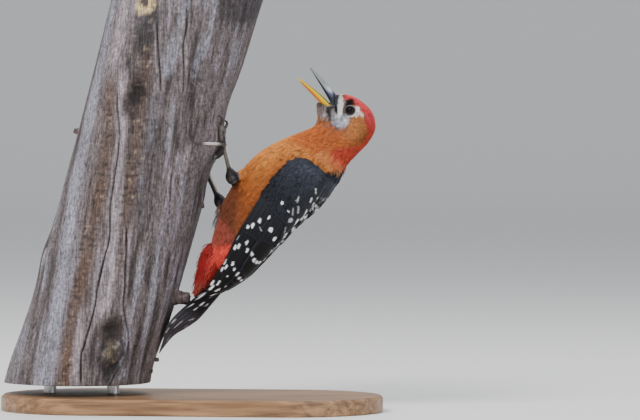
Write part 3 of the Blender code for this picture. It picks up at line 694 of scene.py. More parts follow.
def makeCoat(name, low, high, keep):
    # each tuft is three blades that fan out from one root, so that its tip is ragged
    u, v = scatter(bodyPoint, (low, high), (0, 2 * math.pi), lambda place: coatValue("spacing", place), keep)
    turn = random.normal(0, 0.10, len(u))
    stretch = random.uniform(0.8, 1.2, len(u))
    tip = random.uniform(-0.35, -0.02, len(u))
    u3, v3, fan = threefold(u, v)
    reach = np.tile(stretch, 3) * (1 - 0.14 * np.abs(fan)) * random.uniform(0.9, 1.08, 3 * len(u))
    # the tufts that would fall over the eye are cut short
    off = bodyPoint(u3, v3) - eyeAt * np.array((1, 0, 1))
    far = np.hypot(off[:, 0], off[:, 2])
    ahead = (off[:, 0] * 0.45 - off[:, 2] * 0.9) / np.maximum(far, 0.1)
    reach = reach * np.clip((far + 3.0 * (1 + ahead) - 3.6) / 2.6, 0.25, 1)
    depth = coatValue("depth", u3)
    # loose down stands out under the belly
    down = smooth(turned(v3), 146, 166) * smooth(u3, 3.7, 4.0) * smooth(4.9 - u3, 0, 0.3)
    down = down * (random.random(len(u3)) < 0.35)
    length = coatValue("length", u3) * reach * (1 + 0.5 * down)
    width = coatValue("width", u3) * 0.62 * (1 - 0.5 * down)
    lift = np.tile(tip, 3) * depth * 0.6 + down * random.uniform(0.6, 3.2, len(u3))
    shape = dict(bladeShape, lifts=(-depth, lift), bend=0.35)
    layVanes(
        bodyPoint, u3, v3, (length, width, 0.16), shape, coatColour, name, softFeather,
        yaw=np.tile(turn, 3) + fan * coat["fan"], unwrap=bodyUnwrap,
    )


def offEye(u, v):
    # no feathers on the eye or its ring, nor where the bill springs
    x, _, z = np.moveaxis(bodyPoint(u, v), -1, 0)
    far = np.hypot(x - eyeAt[0], z - eyeAt[2]) > coat["eyeBare"]
    return far & ~((x < culmenRoot[0] + 0.2) & (z > gapeAt[2] + (gapeAt[0] - x) * gapeSlope + 0.2))


def bareBack(u, v):
    # body feathers stop short of the wing and the mantle
    lower, upper = wingSides(u)
    deg = turned(v)
    underWing = (deg > upper + 10) & (deg < lower - 7) & (u < 7.9)
    return ~underWing & (deg > mantleSide(u) - 12)


makeCoat("coat_vent", torsoRoot + 0.3, 5.0, bareBack)
makeCoat("coat_breast", 5.0, 8.6, bareBack)
makeCoat("coat_neck", 8.6, 11.0, None)
makeCoat("coat_head", 11.0, 13.2, offEye)
makeCoat("coat_face", 13.2, 15.95, offEye)
print("contour feathers laid")


def makeMantle():
    # broad black vanes down the back, with white bars
    u, v = scatter(
        bodyPoint, (torsoRoot + 0.4, 9.2), (math.radians(-68), math.radians(68)), 2.3,
        lambda u, v: turned(v) < mantleSide(u) + 1,
    )
    size = (random.uniform(8.5, 11.0, len(u)), random.uniform(3.6, 4.6, len(u)), 0.18)
    shape = dict(vaneShape, lifts=(-1.3, random.uniform(-0.3, 0.0, len(u))))

    def barred(points, u, v, t, a):
        # the coat's colour all along the vane, so that a bar runs on from one vane to the next
        place, angle = u[:, None, None] - t * 0.7, v[:, None, None] + 0 * t
        base = coatTint(bodyPoint(place, angle), place, angle)
        # painted shade towards the vane's root, where the vanes above cover it
        return base * (0.7 + 0.4 * smooth(t, 0.1, 0.8))[..., None]

    layVanes(
        bodyPoint, u, v, size, shape, barred, "coat_mantle", pennaFeather,
        yaw=random.normal(0, 0.07, len(u)), unwrap=bodyUnwrap,
    )


makeMantle()


def makeSleeveCoat(name, place, last, spacing, length, width, tintAt, lifts):
    # tufts on a covert or thigh sleeve, lying towards its thin end
    u, v = scatter(place, (0.12, last - 0.02), (0, 2 * math.pi), spacing)
    turn = random.normal(0, 0.14, len(u))
    u3, v3, fan = threefold(u, v)
    # short near the sleeve's thin end, so that no tuft runs on past it
    length = length * np.clip(0.35 + 0.8 * u3, 0, 1)
    size = (length * random.uniform(0.75, 1.15, 3 * len(u)), width, 0.16)
    # a few tips stand out along the edge that faces the perch
    front = smooth(-unit(place(u3, v3) - place(u3, v3 + math.pi))[..., 0], 0.4, 0.95)
    stray = lifts[3] * front * random.uniform(size=3 * len(u)) ** 4
    shape = dict(bladeShape, lifts=(lifts[0], random.uniform(lifts[1], lifts[2], 3 * len(u)) + stray))

    def tint(points, u, v, t, a):
        wander = 1 + 0.15 * random.normal(size=len(u))[:, None, None, None]
        base = tintAt(place(u, v), u, v)[:, None, None, :]
        # painted shade towards the vane's root, where the vanes above cover it
        return base * wander * (0.5 + 0.6 * smooth(t, 0.1, 0.9))[..., None] + 0 * points

    layVanes(
        place, u3, v3, size, shape, tint, name, softFeather, yaw=np.tile(turn, 3) + fan * 0.2,
        unwrap=lambda u, v: np.stack((v % (2 * math.pi) / (2 * math.pi), u / last), -1),
    )


def undertailTint(points, place, angle):
    # deep red along the front edge, bright red beside the wing, lifted there with painted light where the
    # wing shades it, and the vent's dull red at the very top
    # painted light: the red is brightened beside the wing, where the wing's shadow falls
    beside = smooth(points[..., 0] - 0.233 * points[..., 2] + 13.9, 3, 13)
    tint = mix(colours["undertailFront"], colours["undertailSide"], beside)
    tint = mix(tint, colours["undertailTop"], 0.6 * smooth(88 - points[..., 2], 0, 8))
    return mix(tint, colours["vent"], smooth(points[..., 2], 105.5, 107.5))


def thighTint(points, place, angle):
    # pale over the left heel, then the flank's rufous, and browner on the right one, which is lower
    high = smooth(points[..., 2], 126, 142)
    low = mix(colours["flank"], colours["belly"], 0.5)
    tint = mix(low, mix(colours["flank"], colours["breast"], 0.5), high)
    return mix(colours["tuft"] + 0 * tint, tint, 1 - high * smooth(0.9 - place, 0, 0.65))


makeSleeveCoat(
    "coat_undertail", covertPoint, 5, 1.4, 7.6, 0.62, undertailTint, (-1.2, -0.6, 0.35, 2.4)
)
for side in (left, right):
    makeSleeveCoat(
        f"coat_thigh_{sideName[side]}", thighPoint(side), 1.9, 1.1, 4.2, 0.55, thighTint,
        (-0.8, -0.4, 0.1, 0),
    )
print("coverts and thighs feathered")


wing = {"edgeThickness": 0.7, "fullness": 2.6, "black": srgb(9, 10, 12), "spot": srgb(244, 246, 250)}


def wingSurface(side):
    # u is the place along the spine, v runs from the wing's lower edge (0) to its upper (1), and the
    # lift is a share of the wing's thickness there
    def surface(place, across, share):
        place, across, share = np.broadcast_arrays(place, across, share)
        low, high = wingSides(place)
        inside = np.clip(across, 0, 1)
        angle = np.radians(low + (high - low) * across)
        full = wing["fullness"] * np.clip(0.35 + place / 6, 0, 1)
        full = full * np.clip((wingPlaces[-1] - place) * 2.2 + 0.25, 0, 1)
        thick = wing["edgeThickness"] + full * np.sqrt(4 * inside * (1 - inside))
        return bodyPoint(place, side * angle, gap + thick * share, 0.0)
    return surface


# groups of wing feathers, from the lowest layer up: count; root and tip of the first and of the last
# (place, across); half width in millimetres; lift share at root and tip
wingGroups = {
    "primaries": {
        "count": 9, "root": ((6.4, 0.10), (6.0, 0.50)), "tip": ((0.9, 0.03), (-0.02, 0.55)),
        "half": (3.4, 3.2), "lift": (0.10, 0.40),
    },
    "secondaries": {
        "count": 7, "root": ((6.5, 0.22), (6.4, 0.62)), "tip": ((2.2, 0.18), (1.1, 0.55)),
        "half": (3.8, 4.2), "lift": (0.30, 0.58),
    },
    "tertials": {
        "count": 4, "root": ((6.4, 0.66), (6.6, 0.74)), "tip": ((1.15, 0.72), (3.72, 0.68)),
        "half": (6.0, 8.2), "lift": (0.55, 0.80),
    },
    "greaterCoverts": {
        "count": 9, "root": ((7.0, 0.10), (7.1, 0.80)), "tip": ((4.45, 0.12), (5.0, 0.84)),
        "half": (3.5, 3.7), "lift": (0.62, 0.86),
    },
    "medianCoverts": {
        "count": 9, "root": ((7.5, 0.08), (7.6, 0.84)), "tip": ((5.75, 0.10), (5.8, 0.86)),
        "half": (3.2, 3.6), "lift": (0.76, 0.94),
    },
    "scapulars": {
        "count": 6, "root": ((8.0, 0.66), (7.9, 0.98)), "tip": ((6.7, 0.62), (4.9, 0.98)),
        "half": (4.0, 4.4), "lift": (0.88, 1.02),
    },
}
# white marks on the folded wing: place, across, half length and half width in millimetres, slant
# towards the upper edge in degrees, strength
wingMarks = (
    (6.3, 0.43, 1.5, 1.2, 0, 1), (6.8, 0.6, 1.5, 0.6, 35, 0.4), (6.5, 0.74, 3, 0.5, 40, 0.45),
    (6.3, 0.68, 2.4, 0.6, 40, 0.3), (6.2, 0.58, 0.8, 0.6, 0, 0.9), (6, 0.76, 1.6, 1.3, 0, 0.45),
    (5.6, 0.81, 3, 0.4, 35, 0.35), (5.55, 0.37, 1.23, 0.74, -16, 1), (5.25, 0.25, 1.32, 0.98, -10, 1),
    (4.95, 0.18, 1.67, 1.07, 0, 1), (4.75, 0.12, 1.32, 0.9, 0, 1), (5.06, 0.36, 1.5, 0.3, 70, 0.4),
    (5.3, 0.53, 1.58, 1.48, 0, 1), (5.15, 0.72, 1.5, 1.23, 0, 0.95), (7.1, 0.83, 1.9, 0.7, 25, 0.9),
    (7.4, 0.81, 2.2, 0.3, 40, 0.7), (7.25, 0.97, 1.9, 0.4, 40, 0.7), (7, 0.97, 2.11, 0.66, 35, 0.8),
    (6.5, 0.98, 4.84, 0.66, 35, 0.95), (6.05, 0.96, 3.52, 0.9, 30, 1),
    (5.45, 0.93, 2.82, 0.98, 12, 0.8), (4.95, 0.97, 3.17, 0.9, 20, 1), (4.55, 0.95, 2.7, 0.6, 30, 0.8),
    (4.15, 0.94, 1.4, 0.6, 0, 0.8), (3.92, 0.81, 1.06, 1.07, 0, 1), (3.84, 0.71, 1.14, 1.15, 0, 1),
    (3.84, 0.61, 1.41, 1.15, 0, 1), (3.98, 0.49, 1.5, 0.82, 10, 1), (3.94, 0.36, 1.32, 0.82, 0, 1),
    (4.2, 0.27, 1.41, 0.9, 0, 1), (3.8, 0.16, 1.58, 0.9, 0, 1), (3.6, 0.09, 1.76, 0.9, 0, 1),
    (4, 0.05, 2.2, 0.25, 0, 0.4), (2.95, 0.22, 1.41, 0.82, 0, 1), (2.8, 0.33, 1.14, 0.66, 0, 1),
    (2.74, 0.47, 1.76, 0.74, 10, 1), (2.6, 0.62, 1.32, 1.07, 0, 0.95), (2.58, 0.75, 1.06, 1.23, 0, 0.9),
    (2.78, 0.87, 0.97, 0.82, 0, 0.8), (2.55, 0.12, 1.67, 0.74, 0, 1), (2.3, 0.06, 1.41, 0.74, 0, 1),
    (2.7, 0.03, 2, 0.5, 0, 0.7), (2.2, 0.3, 1, 0.5, 0, 0.7), (1.3, 0.03, 1.94, 0.66, 0, 1),
    (1.5, 0.22, 1.94, 0.66, 0, 1), (1, 0.13, 2.11, 0.82, 0, 1), (1.03, 0.42, 2, 0.7, 0, 0.9),
    (0.7, 0.67, 1.94, 0.66, 0, 0.9), (1.55, 0.5, 0.9, 0.5, 0, 0.5), (0.45, 0.12, 3.5, 0.5, 0, 0.8),
)


def apart(surface, first, second, lift):
    # millimetres between two places of a surface
    return np.linalg.norm(surface(*first, lift) - surface(*second, lift), axis=-1)


def markShare(marks, surface, depth, place, across, seed):
    # how white each point is: inside one of the blunt ellipses drawn along the feathers, frayed at its rim
    aheadBy, asideBy = 0.05, 0.01
    alongSpeed = apart(surface, (place + aheadBy, across), (place - aheadBy, across), depth)
    asideSpeed = apart(surface, (place, across + asideBy), (place, across - asideBy), depth)
    fray = 0.3 * noise(np.stack((place * 14, across * 40, 0 * across), -1), 1.0, seed)
    white = 0 * (place + across)
    for markPlace, markAcross, halfLength, halfWidth, slant, strength in marks:
        along = (markPlace - place) * alongSpeed / (2 * aheadBy)
        aside = (across - markAcross) * asideSpeed / (2 * asideBy)
        cos, sin = math.cos(math.radians(slant)), math.sin(math.radians(slant))
        far = np.abs((along * cos + aside * sin) / halfLength) ** 3
        far = 1.06 * np.cbrt(far + np.abs((aside * cos - along * sin) / halfWidth) ** 3)
        white = np.maximum(white, strength * (1 - smooth(far + fray, 0.85, 1.15)))
    return white


def penna(surface, root, tip, half, lift, rows=72, columns=15):
    # one flight feather: a long cambered vane, rounded at the tip, over a thin underside; t runs from
    # the root to the tip and a from the upper web to the lower, which lies over its neighbour
    t = (np.linspace(0, 1, rows) ** 0.9)[:, None]
    a = np.linspace(-1, 1, columns)[None]
    place = root[0] + (tip[0] - root[0]) * t
    across = root[1] + (tip[1] - root[1]) * t
    length = np.linalg.norm(np.diff(surface(place[:, 0], across[:, 0], 0.5), axis=0), axis=-1).sum()
    tipRun = np.clip(1.1 * half / length, 0.05, 0.5)
    metric = apart(surface, (place, across + 0.01), (place, across - 0.01), 0.5) / 0.02
    blunt = np.sqrt(np.clip(1 - np.clip((t - 1 + tipRun) / tipRun, 0, 1) ** 2, 0.01, 1))
    v = across - a * half * np.minimum(1, 0.35 + 2.4 * t) * blunt / np.maximum(metric, 3.0)
    # beyond the wing's edges the web folds under instead of standing out
    v = np.where(v > 1, 1 + 0.1 * (v - 1), np.where(v < 0, 0.1 * v, v))
    share = lift[0] + (lift[1] - lift[0]) * t + 0.035 * a
    top = surface(place + 0 * a, v, share + 0.05 * (1 - a**2))
    low = surface(place + 0 * a, v, share - 0.06)
    place = place + 0 * a
    colour = wing["black"] * (1 + 0.2 * noise(np.stack((place * 8, v * 30, 0 * v), -1), 1.0, 5))[..., None]
    colour = mix(colour, colours["sheen"], 0.35 * smooth(place, 4.0, 7.0))
    rim = np.maximum(smooth(np.abs(a), 0.72, 0.98) + 0 * t, smooth(t, 1 - 0.5 * tipRun, 1) + 0 * a)
    colour = mix(colour, colours["sheen"], 0.5 * rim)
    white = markShare(wingMarks, surface, 0.8, place, v, 23)
    colour = mix(colour, wing["spot"], white)
    return top, low, colour * (1 - 0.35 * np.exp(-((a / 0.06) ** 2)) + 0 * t)[..., None]


def featherShape(top, low, colour, under, wide, long):
    # the top grid and the underside sewn together round their rim, the underside darkened as painted shade;
    # the map gives the place across the feather and along it
    rows, columns = top.shape[:2]
    count = rows * columns
    grid = gridFaces(rows, columns)
    rim = np.concatenate((
        np.arange(columns), np.arange(1, rows) * columns + columns - 1,
        (rows - 1) * columns + np.arange(columns - 2, -1, -1), np.arange(rows - 2, 0, -1) * columns,
    ))
    after = np.roll(rim, -1)
    wall = np.stack((rim, rim + count, after + count, after), -1)
    points = np.concatenate((top.reshape(-1, 3), low.reshape(-1, 3)))
    faces = turnedOut(points, [np.concatenate((grid, grid[:, ::-1] + count, wall))])
    colour = colour.reshape(-1, 3)
    s, a = crossed(np.linspace(0, long, rows), np.linspace(-wide, wide, columns))
    vaneMap = np.tile(np.stack((a, s), -1).reshape(-1, 2), (2, 1))
    return points, faces, np.concatenate((colour, colour * under)), vaneMap


def makeWing(side):
    # each group's feathers lie evenly between its first and its last
    surface = wingSurface(side)
    # the bed that the vanes lie on, darker than the vanes as painted shade under them
    u, v = crossed(np.linspace(0.25, 8.12, 60), np.linspace(0.04, 0.96, 14))
    bed = np.broadcast_to(wing["black"] * 0.5, (*u.shape, 3))
    shapes = [featherShape(surface(u, v, 0.16), surface(u, v, 0.0), bed, 0.6, 0.35, 5.0)]
    for group in wingGroups.values():
        for k in range(group["count"]):
            share = k / (group["count"] - 1)
            ends = [np.array(group[end]) for end in ("root", "tip")]
            root, tip = ((1 - share) * end[0] + share * end[1] for end in ends)
            tip = tip + random.normal(0, (0.03, 0.004))
            half = (1 - share) * group["half"][0] + share * group["half"][1]
            lift = (group["lift"][0] + 0.10 * share, group["lift"][1] - 0.10 * (1 - share))
            shapes.append(featherShape(*penna(surface, root, tip, half, lift), 0.6, 0.35, 5.0))
    obj = joinShapes(f"wing_feathers_{sideName[side]}", shapes, pennaFeather)
    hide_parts(f"wing_{sideName[side]}")


def makeLesserCoverts(side):
    # small round vanes over the shoulder, like scales, with a cold sheen
    base = wingSurface(side)

    def surface(place, across, lift=0.0):
        return base(place, across, 0.97 + lift / 3.3)

    u, v = scatter(surface, (6.2, 8.17), (0.02, 0.98), lambda place: 1.9 - 0.25 * (place - 6))
    size = (random.uniform(5.0, 6.6, len(u)), random.uniform(3.4, 4.2, len(u)), 0.07)
    shape = dict(vaneShape, lifts=(-0.3, random.uniform(0.0, 0.06, len(u))), camber=0.2)

    def tint(points, u, v, t, a):
        place = u[:, None, None] - t * 0.3
        edge = smooth(np.maximum(np.abs(a), t), 0.7, 1.0)
        cold = (0.45 + 0.5 * edge) * (0.6 + 0.6 * smooth(place, 6.4, 7.6))
        colour = mix(wing["black"] + 0 * points, colours["sheen"], cold)
        # painted gloss, brighter towards the shoulder
        colour = colour * (1 + 0.4 * smooth(place, 7.2, 8.0))[..., None]
        colour = colour * (1 + 0.2 * random.normal(size=len(u))[:, None, None, None])
        # only the first seven marks run on over these coverts
        white = markShare(wingMarks[:7], surface, 0.0, place + 0 * a, v[:, None, None] + 0 * place, 23)
        return mix(colour, wing["spot"], white)

    layVanes(
        surface, u, v, size, shape, tint, f"coat_shoulder_{sideName[side]}", pennaFeather,
        yaw=random.normal(0, 0.08, len(u)), unwrap=lambda u, v: np.stack((v, u / 9), -1),
    )


def makeNapeFringe(side):
    # long pale tufts of the neck that fall over the front of the wing and the mantle
    u, v = scatter(bodyPoint, (8.8, 9.4), (math.radians(24), math.radians(88)), 1.25)
    v = v * side
    u3, v3, fan = threefold(u, v)
    size = (random.uniform(3.8, 6.2, 3 * len(u)), 0.7, 0.16)
    shape = dict(bladeShape, lifts=(-0.4, random.uniform(0.5, 1.6, 3 * len(u))), bend=0.3)

    def tint(points, u, v, t, a):
        wander = 1 + 0.16 * random.normal(size=len(u))[:, None, None, None]
        own = coatTint(bodyPoint(u, v), u, v)[:, None, None, :] + 0 * points
        return mix(own, colours["tuft"], 0.6 * smooth(t, 0.45, 1.0)) * wander

    layVanes(
        bodyPoint, u3, v3, size, shape, tint, f"coat_nape_{sideName[side]}", softFeather,
        yaw=fan * 0.2, unwrap=bodyUnwrap,
    )


for side in (left, right):
    makeWing(side)
    makeLesserCoverts(side)
    makeNapeFringe(side)
print("wings folded")


tailRows = (
    (17.0, 91.0, 27.0, 84.0, 7.0),
    (9.5, 79.5, 19.5, 74.2, 9.0),
    (2.6, 69.8, 12.4, 65.8, 11.0),
    (-5.2, 62.6, 4.2, 56.6, 12.6),
    (-10.8, 56.8, -3.8, 51.0, 12.4),
    (-15.4, 49.4, -11.0, 46.6, 10.0),
    (-19.0, 42.2, -16.6, 40.4, 6.6),
    (-21.3, 36.2, -20.4, 35.2, 2.6),
)
tail = {"roof": 1.7, "edge": 0.8, "perSide": 6, "half": 3.3}
tailColours = {"worn": srgb(68, 66, 76), "tip": srgb(70, 74, 88), "rim": srgb(92, 88, 98)}


def tailPoint(place, across, depth):
    # the ridge at across 0, drooping by the roof's power to the edges at -1 and 1; depth goes down into it
    place, across, depth = np.broadcast_arrays(place, across, depth)
    lowX, lowZ, ridgeX, ridgeZ, halfWidth = np.moveaxis(spline(tailRows, place), -1, 0)
    down = np.stack((lowX - ridgeX, lowZ - ridgeZ), -1)
    reach = np.linalg.norm(down, axis=-1)
    down = down / reach[..., None]
    droop = (reach - tail["edge"]) * np.abs(across) ** tail["roof"] + depth
    return np.stack((ridgeX + down[..., 0] * droop, halfWidth * across, ridgeZ + down[..., 1] * droop), -1)


# white marks of the tail, as on the wing
tailMarks = (
    (1.7, 0.85, 3.2, 0.38, -10, 1), (2.5, 0.90, 3.0, 0.38, -8, 1), (1.8, 0.76, 1.6, 0.4, -12, 0.9),
    (2.05, 0.55, 2.2, 0.5, -16, 0.95), (2.05, 0.36, 1.4, 0.5, -16, 0.9), (2.5, 0.65, 1.9, 0.45, -14, 0.95),
    (2.75, 0.80, 2.0, 0.35, -12, 0.8), (3.15, 0.40, 1.4, 0.5, -16, 0.8), (4.0, 0.90, 2.0, 0.7, -8, 0.7),
    (4.85, 0.90, 2.2, 0.4, -4, 0.5), (4.0, 0.65, 4.5, 0.3, -4, 0.5), (1.4, 0.45, 1.9, 0.5, -16, 1),
    (1.0, 0.45, 1.6, 0.5, -16, 1), (3.6, 0.2, 3.0, 0.3, -6, 0.3), (5.3, 0.4, 3.0, 0.3, 0, 0.4),
)


def makeTail():
    # vanes side by side on the tail's roof, each pair shorter and deeper than the one inside it
    t = np.linspace(0, 1, 50)[:, None]
    a = np.linspace(-1, 1, 9)[None]
    point = np.sqrt(np.clip(1 - np.clip((t - 0.72) / 0.28, 0, 1) ** 1.6, 0.01, 1))
    shapes = []
    for k in range(tail["perSide"]):
        # the middle pair is longest and lies on top, stiff and pointed
        share = k / (tail["perSide"] - 1)
        end = 6.98 - 2.0 * share**1.4
        place = 0.1 + (end - 0.1) * t + 0 * a
        metric = spline(tailRows, place)[..., 4]
        half = tail["half"] * (1 - 0.25 * share) * point
        for side in (left, right):
            centre = -side * (0.10 + 0.80 * share) * (0.35 + 0.65 * smooth(t, 0, 0.55))
            v = np.clip(centre + a * half / np.maximum(metric, 2.0), -1, 1)
            layer = 0.25 + 1.3 * share * (1 - 0.5 * np.abs(v))
            top = tailPoint(place, v, layer - 0.12 * (1 - a**2))
            low = tailPoint(place, v, layer + 0.22)
            white = markShare(tailMarks, tailPoint, 0.0, place, np.abs(v), 25)
            rim = smooth(np.abs(a), 0.8, 1.0) * smooth(place, 2.6, 3.4)
            colour = mix(wing["black"] + 0 * top, tailColours["worn"], 0.6 * smooth(place, 2.2, 3.4))
            colour = mix(colour, tailColours["tip"], 0.8 * smooth(place, 4.6, 6.4))
            colour = mix(colour, tailColours["rim"], 0.6 * rim)
            colour = mix(colour, wing["spot"] * 0.9, white)
            # darker along the shaft
            colour = colour * (1 - 0.3 * np.exp(-((a / 0.1) ** 2)) + 0 * t)[..., None]
            shapes.append(featherShape(top, low, colour, 0.8, 0.33, 6.0))
    obj = joinShapes("tail_feathers", shapes, pennaFeather)
    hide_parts("tail")


makeTail()
print("tail fanned")


bill = {
    "upper": {"root": culmenRoot, "ridge": (74.9, 213.9), "edge": (74.4, 213.0), "width": (3.9, 0.7),
              "bow": (0.3, 0.3), "fromGape": 0.5, "keel": 1},
    "lower": {"root": chinRoot, "ridge": (66.6, 206.2), "edge": (66.9, 207.0), "width": (3.7, 0.6),
              "bow": (0.0, 1.1), "fromGape": 1.2, "keel": -1},
}
billColours = {
    "steel": srgb(84, 90, 110), "pale": srgb(192, 196, 212), "worn": srgb(132, 139, 135),
    "tomium": srgb(16, 14, 18), "inside": srgb(60, 34, 34), "yellow": srgb(208, 166, 0),
    "orange": srgb(190, 92, 0), "cream": srgb(216, 196, 0), "base": srgb(128, 116, 30),
}


def hornTint(upper, tt, rr):
    # tt runs from the feathers to the tip, rr from the cutting edge to the ridge
    c = billColours
    plain = np.zeros((*tt.shape, 3))
    ripple = noise(np.stack((tt * 40, rr * 3, 0 * tt), -1), 1.0, 31)
    if upper:
        # pale along the ridge near the face, and over the whole side further out
        below = 0.66 - 0.36 * smooth(tt, 0.12, 0.45)
        pale = smooth(rr - below, 0.0, 0.2) * (1 - 0.4 * smooth(rr, 0.92, 1.0)) * smooth(tt, 0.03, 0.16)
        tint = mix(c["steel"] + plain, mix(c["pale"] + plain, c["worn"], smooth(tt, 0.16, 0.46)), pale)
        tint = mix(tint, c["tomium"], 1 - smooth(rr, 0.1 + 0.3 * (1 - tt), 0.2 + 0.42 * (1 - tt)))
        tint = mix(tint, c["steel"] * 0.35, 1 - smooth(tt, 0.02, 0.2))
    else:
        tint = mix(c["yellow"] + plain, c["orange"], smooth(rr, 0.35, 0.8))
        tint = mix(tint, c["cream"], 0.9 * (1 - smooth(rr, 0.05, 0.32)))
        tint = mix(tint, c["base"], 0.6 * (1 - smooth(tt, 0.0, 0.14)))
        tint = mix(tint, c["cream"], smooth(tt, 0.84, 1.0))
    return tint * (1 + 0.06 * ripple)[..., None]


def makeBill(name):
    # ridge and cutting edge run from the feathers to the tip; each section arches from edge to ridge,
    # with a low keel along the side
    half = bill[name]
    keel = half["keel"]
    rows, columns = 46, 25
    t = np.linspace(0, 1, rows)[:, None, None]
    gape, root = gapeAt.astype(float), half["root"].astype(float)
    edgeTip, ridgeTip = (np.array((half[key][0], 0, half[key][1])) for key in ("edge", "ridge"))
    along = unit(root - gape)
    off = np.array((-along[2], 0, along[0])) * gap * keel
    edgeRoot = gape + off + along * half["fromGape"]
    ridgeRoot = root + off - along * 0.5
    bow = np.array((0.64, 0, 0.77)) * 4 * t * (1 - t)
    edge = edgeRoot + (edgeTip - edgeRoot) * t + bow * half["bow"][1]
    ridge = ridgeRoot + (ridgeTip - ridgeRoot) * t + bow * half["bow"][0]
    width = half["width"][0] * (1 - t) ** 0.85 + half["width"][1]
    angle = np.linspace(-math.pi / 2, math.pi / 2, columns)[None, :, None]
    power = 1.0 if keel > 0 else 0.7
    rise = np.cos(angle) ** power
    groove = 0.07 * np.exp(-(((rise - 0.55) / 0.10) ** 2)) * (1 - t) * (1 if keel > 0 else 0.4)
    arch = edge + (ridge - edge) * rise + np.array((0, 1, 0)) * width * np.sin(angle) * (1 - groove)
    # the floor of the mouth, a little hollow between the two edges; its dark red is the lining's colour
    # with painted shade inside the mouth
    across = np.linspace(1, -1, 9)[None, 1:-1, None]
    floor = edge + (ridge - edge) * 0.22 * (1 - across**2) * (1 - t) + np.array((0, 1, 0)) * width * across
    points = np.concatenate((arch, floor), 1)
    tint = hornTint(keel > 0, *np.broadcast_arrays(t[..., 0], rise[..., 0]))
    tints = np.concatenate((tint, np.broadcast_to(billColours["inside"], floor.shape)), 1)
    material = tintedMaterial(
        f"horn_{name}", 0.42, 1400.0, 0.9, 1.08, 0.25, 0.00015,
        Coat_Weight=0.05, Coat_Roughness=0.3, Specular_IOR_Level=0.22,
    )
    obj = joinShapes(f"bill_{name}_horn", [closedTube(points, tints)], material)
    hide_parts(f"bill_{name}")


for name in ("upper", "lower"):
    makeBill(name)

eye = {"radius": 3.1, "pupil": 0.56, "opening": 0.98, "roll": 0.42}
eyeColours = {
    "iris": srgb(46, 18, 16), "irisRim": srgb(20, 9, 9), "pupil": srgb(8, 6, 7), "outside": srgb(22, 16, 18),
    "lid": srgb(30, 28, 31), "lidAbove": srgb(104, 104, 112), "lidInside": srgb(22, 19, 21),
}


def eyeFrame(side):
    # the eye's centre, the way that it looks, and two directions across that
    out = unit(np.array((-0.12, -side, 0.10)))
    across = unit(np.cross(out, (0, 0, 1)))
    return eyeAt * (1, -side, 1), out, across, np.cross(out, across)


def makeEye(side):
    # a ball whose pole looks out sideways; u is the angle from that pole
    centre, out, across, third = eyeFrame(side)
    u, v = crossed(np.linspace(0.004, math.pi - 0.004, 40), circle(48))
    bulge = eye["radius"] * (1 + 0.05 * np.exp(-((u / 0.7) ** 2)))
    turn = spoke(across, third, v)
    points = centre + bulge[..., None] * (out * np.cos(u)[..., None] + turn * np.sin(u)[..., None])
    streak = 0.15 * np.sin(v * 17) + 0.1 * np.sin(v * 29 + 1)
    tint = mix(eyeColours["iris"] + 0 * points, eyeColours["irisRim"], smooth(u, 0.5, 0.85))
    tint = tint * (1 + streak)[..., None]
    tint = mix(tint, eyeColours["pupil"], 1 - smooth(u, eye["pupil"] - 0.03, eye["pupil"] + 0.03))
    tint = mix(tint, eyeColours["outside"], smooth(u, 0.85, 1.0))
    material, shader = newMaterial("eyeball", 0.06, Specular_IOR_Level=0.14)
    fill(shader, Base_Color=tintOf(shader))
    obj = joinShapes(f"eye_ball_{sideName[side]}", [closedTube(points, tint)], material)
    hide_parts(f"eye_{sideName[side]}")


def makeEyeRing(side):
    # the bare ring and the two lids, a wrinkled roll round the ball
    centre, out, across, third = eyeFrame(side)
    rows, columns = 72, 16
    u, v = crossed(circle(rows), circle(columns))
    opening = eye["opening"] + 0.05 * np.cos(2 * u)
    roll = eye["roll"] + 0.06 * np.sin(u * 23) * np.sin(u * 9 + 1)
    ringOut, ringIn = (eye["radius"] + 0.1) * np.cos(opening), (eye["radius"] + 0.1) * np.sin(opening)
    radial = spoke(across, third, u)
    middle = centre + out * ringOut[..., None] + radial * (ringIn + 0.25)[..., None]
    points = middle + radial * (roll * np.cos(v) * 1.25)[..., None]
    points = points + out * (roll * np.sin(v) * 0.8)[..., None]
    closing = np.arange(columns)
    last = (rows - 1) * columns
    sew = np.stack((last + closing, last + (closing + 1) % columns, (closing + 1) % columns, closing), -1)
    faces = turnedOut(points, [np.concatenate((gridFaces(rows, columns, True), sew))])
    # grey over the eye, darker below, and darker towards the ball as painted shade in the gap round it
    above = smooth(points[..., 2] - centre[2], 0.6, 3.0)
    tint = mix(eyeColours["lid"] + 0 * points, eyeColours["lidAbove"], above)
    tint = mix(tint, eyeColours["lidInside"], smooth(-np.cos(v), -0.3, 0.5))
    tint = tint * (1 + 0.12 * np.sin(u * 23))[..., None]
    material = tintedMaterial("eyeRing", 0.5, 2600.0, 0.8, 1.2, 0.5, 0.0001)
    makeMesh(f"eye_ring_{sideName[side]}", points, faces, material, tint)


for side in (left, right):
    makeEye(side)
    makeEyeRing(side)
print("bill and eyes made")


